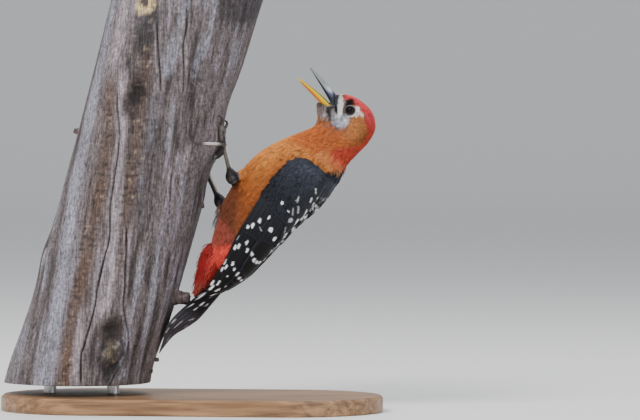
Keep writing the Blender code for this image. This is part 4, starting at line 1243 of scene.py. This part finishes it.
perch = {
    "bottom": 17.0, "top": 262.0, "footX": -74.6, "slope": 0.28, "radius": 43.0, "flare": 3.0,
    "waves": ((2, 0.9, 0.6, 0.004), (3, 0.6, 2.1, -0.006), (5, 0.4, 4.0, 0.003)),
    "knots": (
        (62.0, 38.0, 9.0, 9.0, 3.4), (67.0, 52.0, 10.0, 7.0, -1.2), (100.0, 198.0, 9.0, 10.0, -2.2),
        (104.0, 214.0, 14.0, 6.0, 1.2), (-4.0, 166.0, 26.0, 7.0, 2.0), (0.0, 190.0, 30.0, 16.0, -2.0),
        (0.0, 145.0, 26.0, 9.0, -1.4), (170.0, 98.0, 22.0, 12.0, 1.6), (178.0, 24.0, 36.0, 26.0, 3.0),
        (8.0, 32.0, 14.0, 5.0, 1.8), (-110.0, 150.0, 14.0, 14.0, 2.0), (-60.0, 90.0, 12.0, 12.0, 1.6),
        (0.0, 30.0, 40.0, 18.0, -3.2),
    ),
    "rows": 316, "columns": 276, "endRings": 22,
}
perchLean = math.atan(perch["slope"])


def perchRadius(angle, height):
    # waves round the trunk, a flare towards the top, and Gaussian knots and hollows
    share = (height - perch["bottom"]) / (perch["top"] - perch["bottom"])
    radius = perch["radius"] + perch["flare"] * share**4
    for n, size, phase, turn in perch["waves"]:
        radius = radius + size * np.cos(n * angle + phase + turn * height)
    for knotAngle, knotHeight, roundSpread, alongSpread, size in perch["knots"]:
        turn = signedDegrees(np.degrees(angle) - knotAngle)
        far = (turn / roundSpread) ** 2 + ((height - knotHeight) / alongSpread) ** 2
        radius = radius + size * np.exp(-far)
    return radius


def perchPoint(angle, height, lift=0.0):
    # a level slice of the leaning trunk, lifted at right angles to its axis
    angle, height, lift = np.broadcast_arrays(angle, height, lift)
    radius = perchRadius(angle, height)
    cosLean, sinLean = math.cos(perchLean), math.sin(perchLean)
    x = perch["footX"] + perch["slope"] * height + radius * np.cos(angle) / cosLean
    return np.stack((
        x + lift * np.cos(angle) * cosLean,
        -radius * np.sin(angle) - lift * np.sin(angle),
        height - lift * np.cos(angle) * sinLean,
    ), -1)


# long drying cracks: width, depth, then height and angle down the crack
cracks = (
    (0.36, 2.2, ((17, 80), (37, 87), (62, 87), (103, 89), (128, 96), (172, 105), (199, 117))),
    (0.36, 1.8, ((33, 45), (49, 52), (70, 64), (87, 70), (116, 78))),
    (0.32, 1.4, ((197, 80), (222, 92), (243, 99))),
    (0.32, 1.3, ((196, 62), (231, 74), (252, 80))),
    (0.32, 1.0, ((17, 56), (27, 52))),
    (0.3, 0.9, ((199, 42), (207, 62))),
    (0.32, 0.9, ((110, 40), (150, 52))),
    (0.45, 2.0, ((30, -70), (120, -50), (250, -40))),
    (0.45, 2.0, ((60, -100), (230, -120))),
    (0.4, 1.6, ((20, -165), (200, -160))),
)
woodColours = {
    "grey": srgb(108, 98, 99), "pale": srgb(150, 148, 162), "blush": srgb(164, 152, 158),
    "brown": srgb(92, 70, 58), "soot": srgb(52, 48, 50), "dark": srgb(46, 39, 38),
    "crack": srgb(16, 13, 13), "knot": srgb(112, 99, 82), "cream": srgb(214, 190, 142),
    "crumb": srgb(168, 148, 128), "ring": srgb(176, 158, 140), "ringDark": srgb(120, 100, 86),
    "twig": srgb(126, 108, 106),
}
# bands up the trunk: colour, strength, roughness, half width in degrees, then height and angle
woodBands = (
    ("soot", 0.6, 0.5, 15, ((120, 74), (139, 77), (172, 80), (197, 94), (214, 98), (246, 108))),
    ("brown", 0.7, 1.0, 6, ((90, 76), (139, 84), (172, 90), (214, 98), (230, 104))),
    ("brown", 0.9, 1.0, 8, ((17, 95), (54, 102), (87, 104), (128, 107), (172, 116), (203, 126))),
    ("pale", 0.95, -0.8, 9, ((17, 113), (45, 116), (87, 121), (128, 134), (172, 144), (255, 153))),
    ("blush", 0.8, -0.6, 8, ((216, 134), (231, 130), (262, 133))),
    ("blush", 0.85, -0.7, 4.5, ((60, 78), (87, 80), (128, 90), (172, 101), (208, 114))),
    ("blush", 0.6, -0.4, 3.5, ((17, 87), (49, 93), (62, 95))),
    ("dark", 0.5, 0.3, 2.5, ((17, 128), (128, 148), (172, 158))),
    ("pale", 0.5, -0.3, 6, ((17, -60), (262, -40))),
    ("brown", 0.7, 0.8, 20, ((17, -120), (262, -140))),
)
# patches: colour, strength, height, angle, half height and half turn
woodPatches = (
    ("pale", 0.6, 220, 81, 14, 6), ("pale", 0.5, 221, 57, 14, 4), ("blush", 0.5, 156, 43, 12, 5),
    ("pale", 0.5, 247, 81, 12, 4), ("soot", 0.8, 250, 24, 12, 26), ("soot", 0.9, 236, 104, 14, 8),
    ("dark", 0.9, 190, 100, 8, 9), ("blush", 0.8, 66, 79, 6, 5), ("pale", 0.6, 93, 158, 7, 4),
    ("soot", 0.8, 26, 57, 7, 9), ("soot", 0.85, 51, 66, 8, 11), ("blush", 0.4, 180, 20, 30, 10),
    ("blush", 0.9, 96, 159, 6, 3.5), ("dark", 0.7, 104, 160, 3, 3), ("soot", 0.5, 36, 48, 9, 5),
    ("cream", 1.0, 252, 112, 6, 9),
)


def withBands(tint, h, deg, wander, streak, blotch):
    # bands that follow their lines up the trunk, then patches; also gives how rough the wood is
    rough = 0 * h
    for name, strength, coarse, half, line in woodBands:
        line = np.array(line, float)
        centre = np.interp(h, line[:, 0], line[:, 1]) + 4 * wander
        off = signedDegrees(deg - centre)
        ends = smooth(line[-1, 0] + 10 - h, 0, 14)
        # a band that starts at the sawn end isn't faded there
        if line[0, 0] > perch["bottom"]:
            ends = ends * smooth(h, line[0, 0] - 14, line[0, 0] + 4)
        share = np.exp(-((np.abs(off) / half) ** 3)) * ends
        rough = rough + coarse * share
        share = np.clip(strength * share * (0.85 + 0.5 * blotch + 0.45 * streak), 0, 1)
        tint = mix(tint, woodColours[name], share)
    for name, strength, height, degrees, halfHeight, halfTurn in woodPatches:
        off = signedDegrees(deg - degrees)
        far = np.hypot(off / halfTurn, (h - height) / halfHeight) + 0.3 * wander + 0.25 * streak
        tint = mix(tint, woodColours[name], strength * (1 - smooth(far, 0.6, 1.3)))
    return tint, rough


def withKnots(tint, relief, h, deg, streak, crumb, checks):
    # the first three knots are the weathered ones: a knob in a dark collar, which is painted shade in the
    # groove round it, or a hollow, darkened inside as painted shade
    for knotAngle, knotHeight, roundSpread, alongSpread, size in perch["knots"][:3]:
        off = signedDegrees(deg - knotAngle)
        far = np.hypot(off / roundSpread, (h - knotHeight) / alongSpread)
        ragged = far + 0.25 * streak + 0.2 * crumb
        if size > 2:
            core = 1 - smooth(ragged, 0.5, 0.95)
            tint = mix(tint, woodColours["knot"], 0.75 * core)
            tint = mix(tint, woodColours["dark"], 0.8 * core * smooth(crumb + 0.7 * checks, 0.0, 0.5))
            tint = mix(tint, woodColours["blush"], 0.6 * core * smooth(-crumb + 0.5 * streak, 0.35, 0.7))
            relief = relief + 0.5 * core * (crumb + 0.5 * checks)
            # painted shade in the groove round the knob
            tint = mix(tint, woodColours["crack"], 0.75 * np.exp(-(((ragged - 1.1) / 0.28) ** 2)))
            relief = relief - 0.7 * np.exp(-(((far - 1.05) / 0.18) ** 2))
        else:
            stain = mix(woodColours["brown"], woodColours["soot"], 0.6)
            tint = mix(tint, stain, 0.7 * (1 - smooth(ragged, 0.9, 1.5)))
            # painted shade inside the hollow
            tint = mix(tint, woodColours["crack"], 0.8 * (1 - smooth(ragged + 0.3 * checks, 0.3, 1.1)))
            relief = relief - 1.2 * (1 - smooth(far, 0.1, 0.9))
    return tint, relief


def withCracks(tint, relief, h, deg, crumb):
    # each crack is a Gaussian groove, whose width and course waver, darkened inside as painted shade
    for width, depth, line in cracks:
        line = np.array(line, float)
        centre = np.interp(h, line[:, 0], line[:, 1])
        centre = centre + 1.0 * noise(np.stack((h, 0 * h, 0 * h), -1), 16.0, int(line[0, 1]) + 200)
        off = signedDegrees(deg - centre) * math.radians(1) * perch["radius"]
        ends = smooth(h, line[0, 0] - 1, line[0, 0] + 5) * smooth(line[-1, 0] + 1 - h, 0, 6)
        gape = width * (1 + 0.3 * noise(np.stack((h, 0 * h + 9, 0 * h), -1), 9.0, 77))
        cut = np.exp(-((off / gape) ** 2)) * ends
        relief = relief - depth * cut
        # painted shade down in the crack
        tint = mix(tint, woodColours["crack"], np.clip(1.15 * cut * (0.85 + 0.4 * crumb), 0, 1))
        # a crack's lips are bleached
        tint = mix(tint, woodColours["blush"], 0.35 * np.exp(-(((np.abs(off) - 1.6) / 0.7) ** 2)) * ends)
    return tint, relief


def weathered(h, a):
    # colour and relief at a height and an angle of the trunk: long grain, then bands and patches, decay,
    # knots and cracks
    deg = np.degrees(a)
    twist = a - 0.0035 * (h - 120)

    def grainPlace(stretch):
        # a place on the twisted trunk whose patterns come out so many times longer than wide
        return np.stack((perch["radius"] * np.cos(twist), perch["radius"] * np.sin(twist), h / stretch), -1)

    around = grainPlace(12)
    wander = fractal(grainPlace(3), 26.0, 41)
    streak = fractal(around, 3.6, 51, 3)
    fibre = fractal(around * (1, 1, 1.3), 1.3, 61, 2)
    blotch = fractal(grainPlace(2), 14.0, 71)
    crumb = noise(grainPlace(1.4), 1.5, 62)
    checks = noise(grainPlace(1) / (3, 3, 1), 1.3, 63)
    relief = -0.45 + 0.5 * streak + 0.25 * fibre
    pits = smooth(-streak - 0.5 * fibre, 0.0, 0.6)
    tint = mix(woodColours["grey"] + 0 * around, woodColours["dark"], 0.85 * pits)
    tint = mix(tint, woodColours["pale"], 0.7 * smooth(streak + 0.4 * fibre + 0.3 * blotch, 0.1, 0.6))
    tint, rough = withBands(tint, h, deg, wander, streak, blotch)
    rough = np.clip(rough, -0.8, 1)
    decay = np.clip(rough, 0, 1)
    tint = mix(tint, woodColours["dark"], 0.7 * decay * smooth(-checks - 0.6 * crumb, 0.1, 0.7))
    # pale crumbs on the decayed bands, raised in the relief: pale wood, with a painted highlight on their
    # tops
    tint = mix(tint, woodColours["crumb"], 0.5 * decay * smooth(crumb + 0.4 * checks, 0.52, 0.95))
    tint = mix(tint, woodColours["dark"], 0.6 * (1 - decay) * smooth(-crumb - fibre, 0.55, 1.1))
    relief = relief * (1 + 0.5 * rough) - decay * (0.5 + 0.45 * smooth(-checks, 0, 0.8)) + 0.3 * decay * crumb
    tint, relief = withKnots(tint, relief, h, deg, streak, crumb, checks)
    return withCracks(tint, relief, h, deg, crumb)


def sawnEnd(rim, angles):
    # a cut face that shrinks from the rim to the heart, with year rings and rays
    centre = np.array((perch["footX"] + perch["slope"] * rim[0, 2], 0, rim[0, 2]))
    share = np.linspace(1, 0.02, perch["endRings"] + 1)[1:, None, None]
    disc = centre + (rim - centre) * share
    radius = share[..., 0] * perch["radius"] + 1.5 * fractal(disc * (1, 1, 0), 12.0, 81)
    grain = np.sin(radius * 2.6)
    ray = np.abs(np.sin(angles * 3.5 + 0.8))[None] ** 12
    colour = mix(woodColours["ring"] + 0 * disc, woodColours["ringDark"], 0.5 + 0.4 * grain)
    return disc, mix(colour, woodColours["crack"], 0.5 * ray * smooth(radius, 6, 30))


def makePerch():
    # the smooth trunk, carved inwards, with a sawn end above and below
    heights = np.linspace(perch["bottom"], perch["top"], perch["rows"])
    # the columns stand closer together on the side with the deepest weathering
    even = circle(perch["columns"])
    h, a = crossed(heights, even + 0.55 * np.sin(even - math.radians(85) + math.pi))
    tint, relief = weathered(h, a)
    points = perchPoint(a, h, np.minimum(relief, 0.15))
    points[..., 2] = np.where(h <= perch["bottom"], perch["bottom"], points[..., 2])
    points[..., 2] = np.where(h >= perch["top"], perch["top"], points[..., 2])
    (low, lowTint), (high, highTint) = (sawnEnd(points[row], even) for row in (0, -1))
    points = np.concatenate((low[::-1], points, high))
    tint = np.concatenate((lowTint[::-1], tint, highTint))
    material, shader = newMaterial("deadWood", 0.86)
    fine = noiseOver(
        shader, (1, 1, 0.07), (0, -perchLean, 0), Scale=1100.0, Detail=4.0, Roughness=0.65
    )
    colour = grained(shader, tintOf(shader), fine, 0.36, 0.64, 0.48, 1.36)
    fill(shader, Base_Color=speckle(shader, colour, 620.0, 0.58, 1.36)[0])
    bumpInto(shader, fine, 0.9, 0.0008)
    obj = joinShapes("perch_wood", [closedTube(points, tint)], material)
    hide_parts("perch")
    return material


perchMaterial = makePerch()
print("trunk weathered")


def tube(path, radii, sides, squash=1.0):
    # rings of a given radius across a path of points, carried along it without turning
    path = np.asarray(path, float)
    along = unit(np.gradient(path, axis=0))
    across = unit(np.cross(along, (0.3, 1.0, 0.2)))
    third = np.cross(along, across)
    turn = circle(sides)
    ring = spoke(across[:, None], third[:, None] * squash, turn)
    return path[:, None] + ring * np.asarray(radii, float)[:, None, None], turn


# broken stubs of side twigs: angle, height, length, radius, rise
stubs = (
    (1.3, 70.0, 9.3, 3.7, -0.06),
    (0.0, 128.0, 1.6, 1.6, -0.3),
    (4.0, 31.5, 2.4, 1.2, -0.1),
    (3.0, 25.5, 1.6, 1.3, -0.5),
    (176.0, 174.0, 3.0, 1.5, 0.2),
    (112.0, 253.0, 1.6, 2.0, 0.35),
)


def makeStubs():
    # short tapered twigs with snapped, ragged ends
    shapes = []
    for degrees, height, length, radius, rise in stubs:
        angle = math.radians(degrees)
        base = perchPoint(angle, height, -2.5)
        out = unit(np.array((math.cos(angle), -math.sin(angle), rise)))
        t = np.linspace(0, 1, 16)
        path = base + out * ((length + 2.5) * t)[:, None]
        path = path + np.array((0, 0, 1)) * (0.25 * np.sin(t * 7))[:, None]
        radii = radius * (1.5 - 0.55 * t**0.6)
        points, turn = tube(path, radii, 20)
        knobs = 1 + 0.22 * fractal(points, 3.0, 91) + 0.08 * noise(points, 0.9, 93)
        points = path[:, None] + (points - path[:, None]) * knobs[..., None]
        points[-1] -= out * (0.9 * np.abs(np.sin(turn * 3 + degrees)))[:, None]
        pits = np.clip(0.35 + 0.7 * fractal(points, 1.6, 92), 0, 1)
        shapes.append(closedTube(points, mix(woodColours["twig"] + 0 * points, woodColours["dark"], pits)))
    joinShapes("perch_stubs", shapes, perchMaterial)


makeStubs()


foot = {
    "lift": 3.4,
    # share of the way from heel to toes, radius
    "shank": ((-0.24, 1.4), (-0.17, 2.9), (-0.07, 3.75), (0.03, 3.95), (0.13, 3.3), (0.22, 2.3), (0.34, 1.75),
              (0.6, 1.6), (0.85, 1.6), (1.0, 2.0), (1.06, 1.2)),
    # number: spread from straight up the trunk towards the outside, length, radius, claw length, how
    # far its root is raised, and how far the claw turns outwards
    "toes": ((1, 152.0, 7.5, 1.0, 4.5, 0, 0), (2, -8.0, 12.0, 1.15, 5.5, 0, -30),
             (3, 20.0, 15.0, 1.3, 8.5, 0, 62), (4, 88.0, 18.0, 0.95, 7.6, 2.0, 10)),
}
legColours = {
    "scale": srgb(92, 86, 80), "pale": srgb(226, 224, 220), "joint": srgb(16, 11, 16),
    "claw": srgb(62, 54, 50), "tip": srgb(26, 23, 24), "skin": srgb(118, 112, 120),
}


def alongBark(side, outwards, upwards, lift):
    # a point of the bark, measured over it from the foot's root
    leg = legs[side]
    angle = math.radians(leg["footAngle"]) + outwards / perch["radius"]
    return perchPoint(side * angle, leg["footZ"] + upwards, lift)


def scaledTube(path, radii, scales, sides=20):
    # rings swell between the scutes; joints are darker than the scutes
    phase = (np.linspace(0, 1, len(path)) * scales) % 1
    swell = 1 + 0.07 * np.sin(math.pi * phase) ** 0.6 - 0.05
    points, turn = tube(path, radii * swell, sides, 0.92)
    seam = 1 - smooth(np.minimum(phase, 1 - phase), 0.0, 0.16)
    tint = mix(legColours["scale"] + 0 * points, legColours["joint"], (0.75 * seam)[:, None] + 0 * turn)
    tint = tint * (1 + 0.15 * noise(points, 0.8, 101))[..., None]
    return points, tint


def makeToe(side, number, spread, length, radius, clawLength, rise, bend):
    # makes the toe's claw, and gives the toe as a shape for joinShapes
    t, seven = np.linspace(0, 1, 60), np.linspace(0, 1, 7)
    low = radius + 0.5
    lifts = (foot["lift"], foot["lift"] * 0.8, radius + 0.8, low, low, radius + 0.7, radius + 0.75)
    heading = math.radians(spread)
    outwards, upwards = length * t * math.sin(heading), length * t * math.cos(heading) + rise
    path = alongBark(side, outwards, upwards, np.interp(t, seven, lifts))
    radii = radius * np.interp(t, seven, (1.15, 1.1, 0.95, 1.12, 0.92, 1.12, 0.8))
    points, tint = scaledTube(path, radii, max(int(length * 0.85), 4), 16)
    pale = 0.85 * smooth(t, 0.2, 0.5)[:, None] if number == 4 else 0.1
    tint = mix(tint, legColours["pale"], pale + 0 * tint[..., 0])
    if number != 4:
        tint = mix(tint, legColours["joint"], 0.8 * smooth(fractal(points, 2.4, 105, 2), -0.1, 0.4))
    shape = closedTube(points, tint)
    # the claw: an arc up off the toe and down into the bark, turned as it goes
    s = np.linspace(0, 1, 26)
    turning = heading + math.radians(bend) * s
    stride = clawLength * 0.9 * np.gradient(np.sin(s * math.pi / 2))
    outwards = outwards[-1] + np.cumsum(stride * np.sin(turning)) - 0.2 * math.sin(heading)
    upwards = upwards[-1] + np.cumsum(stride * np.cos(turning)) - 0.2 * math.cos(heading)
    lift = radius + 0.75 + 1.1 * np.sin(math.pi * np.minimum(s * 1.15, 1.0)) - (radius + 0.1) * s**2
    path = alongBark(side, outwards, upwards, lift)
    points, _ = tube(path, radius * 0.9 * (1 - s) ** 0.6 + 0.12, 12, 0.8)
    dark = np.broadcast_to(smooth(s, 0.2, 0.9)[:, None], points.shape[:2])
    tint = mix(legColours["claw"] + 0 * points, legColours["tip"], dark)
    if number == 4:
        tint = mix(tint, legColours["pale"], 0.7 * (1 - smooth(s, 0.0, 0.4))[:, None] + 0 * dark)
    name = f"{sideName[side]}_{number}"
    claw = joinShapes(f"claw_horn_{name}", [closedTube(points, tint)], clawMaterial)
    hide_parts(f"claw_{name}")
    return shape


def makeLeg(side):
    # tubes from the thigh to the heel and on to the toes, joined to the pad and the toes
    heel, knee = jointOf(side, "heel"), jointOf(side, "knee")
    ankle = alongBark(side, 0.0, 0.0, foot["lift"])
    shapes = []
    # the bare joint between the heel and the feathered thigh
    t = np.linspace(0, 1, 24)
    points, turn = tube(heel + unit(knee - heel) * (6.5 * t)[:, None], 3.3 - 1.2 * t**1.5, 18)
    bare = (0.8 * smooth(t, 0.35, 0.9))[:, None] + 0 * turn
    tint = mix(legColours["joint"] + 0 * points, legColours["skin"], bare)
    shapes.append(closedTube(points, tint * (1 + 0.2 * noise(points, 0.9, 103))[..., None]))
    # the shank, with its swollen dark heel
    t = np.linspace(-0.28, 1.06, 120)
    path = heel + (ankle - heel) * t[:, None]
    radii = np.interp(t, *np.array(foot["shank"]).T)
    points, tint = scaledTube(path, radii, 17)
    dark = 1 - smooth(t + 0.05 * np.sin(t * 60), 0.2, 0.42)
    dark = np.broadcast_to((dark * 0.9 + 0.5 * smooth(t, 0.9, 1.0))[:, None], tint.shape[:2])
    mottle = fractal(points, 2.2, 104, 2)
    tint = mix(tint, legColours["joint"], np.clip(dark + 0.55 * smooth(mottle, 0.05, 0.5), 0, 1) * 0.95)
    # pale mottles on the dark heel: partly its own skin, partly a painted highlight
    tint = mix(tint, legColours["skin"] * 0.7, 0.6 * dark * smooth(-mottle, 0.1, 0.45))
    # painted highlight: a pale stripe down the back of the left shank and down the inside of the right one,
    # where light catches their edges
    inward = np.array((1.0, 0, 0) if side == left else (0.75, -0.66, 0))
    back = smooth((points - path[:, None]) @ inward, 0.45 * radii[:, None], 0.8 * radii[:, None])
    tint = mix(tint, legColours["pale"], 0.85 * back * smooth(t, 0.2, 0.32)[:, None])
    shapes.append(closedTube(points, tint))
    # the pad under the toes, dark: its own colour with painted shadow from the toes over it
    t = np.linspace(0, 1, 24)
    path = alongBark(side, 2.5 * t, 2.5 - 10 * t, 1.2 + 1.5 * np.sin(math.pi * t))
    points, tint = scaledTube(path, 0.5 + 1.7 * np.sin(math.pi * np.clip(t, 0.04, 0.97)) ** 0.7, 6, 16)
    shapes.append(closedTube(points, mix(tint, legColours["joint"], 0.75 + 0 * tint[..., 0])))
    shapes += [makeToe(side, *toe) for toe in foot["toes"]]
    obj = joinShapes(f"leg_scutes_{sideName[side]}", shapes, legMaterial)
    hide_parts(f"leg_{sideName[side]}")


legMaterial = tintedMaterial("legScales", 0.5, 2200.0, 0.7, 1.25, 0.5, 0.0001, Specular_IOR_Level=0.2)
clawMaterial = tintedMaterial("clawHorn", 0.3, 1800.0, 0.9, 1.1, 0.2, 0.0001, Coat_Weight=0.3)
for side in (left, right):
    makeLeg(side)
print("feet placed")


stand = {"oakDark": srgb(104, 72, 46), "oakLight": srgb(170, 130, 90), "steel": (0.56, 0.56, 0.57, 1)}


def refinish(name, material):
    # a CAD node keeps its mesh and gets a new material
    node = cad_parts[name]
    node.data.materials.clear()
    node.data.materials.append(material)


def finishStand():
    # oiled oak with long grain on the base, brushed steel on the rods
    oak, shader = newMaterial("standOak", 0.42, Coat_Weight=0.15, Coat_Roughness=0.3)
    grain = noiseOver(shader, (0.06, 1.0, 1.0), Scale=330.0, Detail=5.0, Distortion=0.6)
    ramp = addNode(shader, "ValToRGB", {}, Fac=grain)
    for k, (position, name) in enumerate(((0.32, "oakDark"), (0.68, "oakLight"))):
        ramp.color_ramp.elements[k].position = position
        ramp.color_ramp.elements[k].color = (*stand[name], 1)
    fill(shader, Base_Color=ramp.outputs["Color"])
    bumpInto(shader, grain, 0.2, 0.0003)
    refinish("stand_base", oak)
    steel, shader = newMaterial("standSteel", 0.3, Metallic=1.0, Base_Color=stand["steel"])
    bumpInto(shader, noiseOver(shader, (1.0, 1.0, 12.0), Scale=400.0), 0.15, 0.0001)
    for name in ("stand_rod_outer", "stand_rod_inner"):
        refinish(name, steel)


finishStand()


room = {"floor": 4300.0, "bend": 450.0, "height": 1000.0, "sides": 96}


def makeRoom():
    # a pale round floor that curves up all round, so that every side is seen against the same wall
    turn = np.linspace(0, math.pi / 2, 20)
    radii = np.concatenate(([1.0, room["floor"] / 3], room["floor"] + room["bend"] * np.sin(turn)))
    heights = np.concatenate(([0.0, 0.0], room["bend"] * (1 - np.cos(turn))))
    radii = np.append(radii, radii[-1])
    heights = np.append(heights, room["height"])
    around = circle(room["sides"])
    points = np.stack(np.broadcast_arrays(
        radii[:, None] * np.cos(around), radii[:, None] * np.sin(around), heights[:, None]
    ), -1)
    faces = [gridFaces(len(radii), room["sides"], True)[:, ::-1], np.arange(room["sides"])[None]]
    material, _ = newMaterial("paleRoom", 0.9, Base_Color=(0.87, 0.87, 0.86, 1))
    obj = makeMesh("floor", points, faces, material, riding=False)


makeRoom()


def addLight(name, location, target, size, power, colour):
    # a round soft light turned towards its target
    data = bpy.data.lights.new(name, "AREA")
    data.shape = "DISK"
    data.size = size
    data.energy = power
    data.color = colour
    obj = bpy.data.objects.new(name, data)
    obj.location = location
    obj.rotation_euler = (Vector(target) - Vector(location)).to_track_quat("-Z", "Y").to_euler()
    bpy.context.scene.collection.objects.link(obj)


centre = (0.03, 0.0, 0.14)
addLight("key", (-0.5, -1.1, 1.25), centre, 0.7, 26.0, (1.0, 0.98, 0.95))
addLight("fill", (1.3, -1.0, 0.5), centre, 1.0, 7.0, (0.95, 0.97, 1.0))
addLight("above", (0.2, 0.5, 1.5), centre, 1.0, 12.0, (1.0, 1.0, 1.0))

world = bpy.data.worlds.new("studio")
world.use_nodes = True
world.node_tree.nodes["Background"].inputs["Color"].default_value = (0.92, 0.95, 1.0, 1)
world.node_tree.nodes["Background"].inputs["Strength"].default_value = 0.55
bpy.context.scene.world = world

view = {"azimuth": 8.0, "elevation": 1.5, "distance": 3.0, "aim": (0.0806, 0.0, 0.1252), "across": 0.3968}
cameraData = bpy.data.cameras.new("camera")
cameraData.sensor_width = 36.0
cameraData.lens = 36.0 * view["distance"] / view["across"]
camera = bpy.data.objects.new("camera", cameraData)
azimuth, elevation = math.radians(view["azimuth"]), math.radians(view["elevation"])
towards = Vector((
    math.sin(azimuth) * math.cos(elevation), -math.cos(azimuth) * math.cos(elevation), math.sin(elevation),
))
camera.location = Vector(view["aim"]) + towards * view["distance"]
camera.rotation_euler = (-towards).to_track_quat("-Z", "Y").to_euler()
bpy.context.scene.collection.objects.link(camera)
bpy.context.scene.camera = camera

print("scene ready")
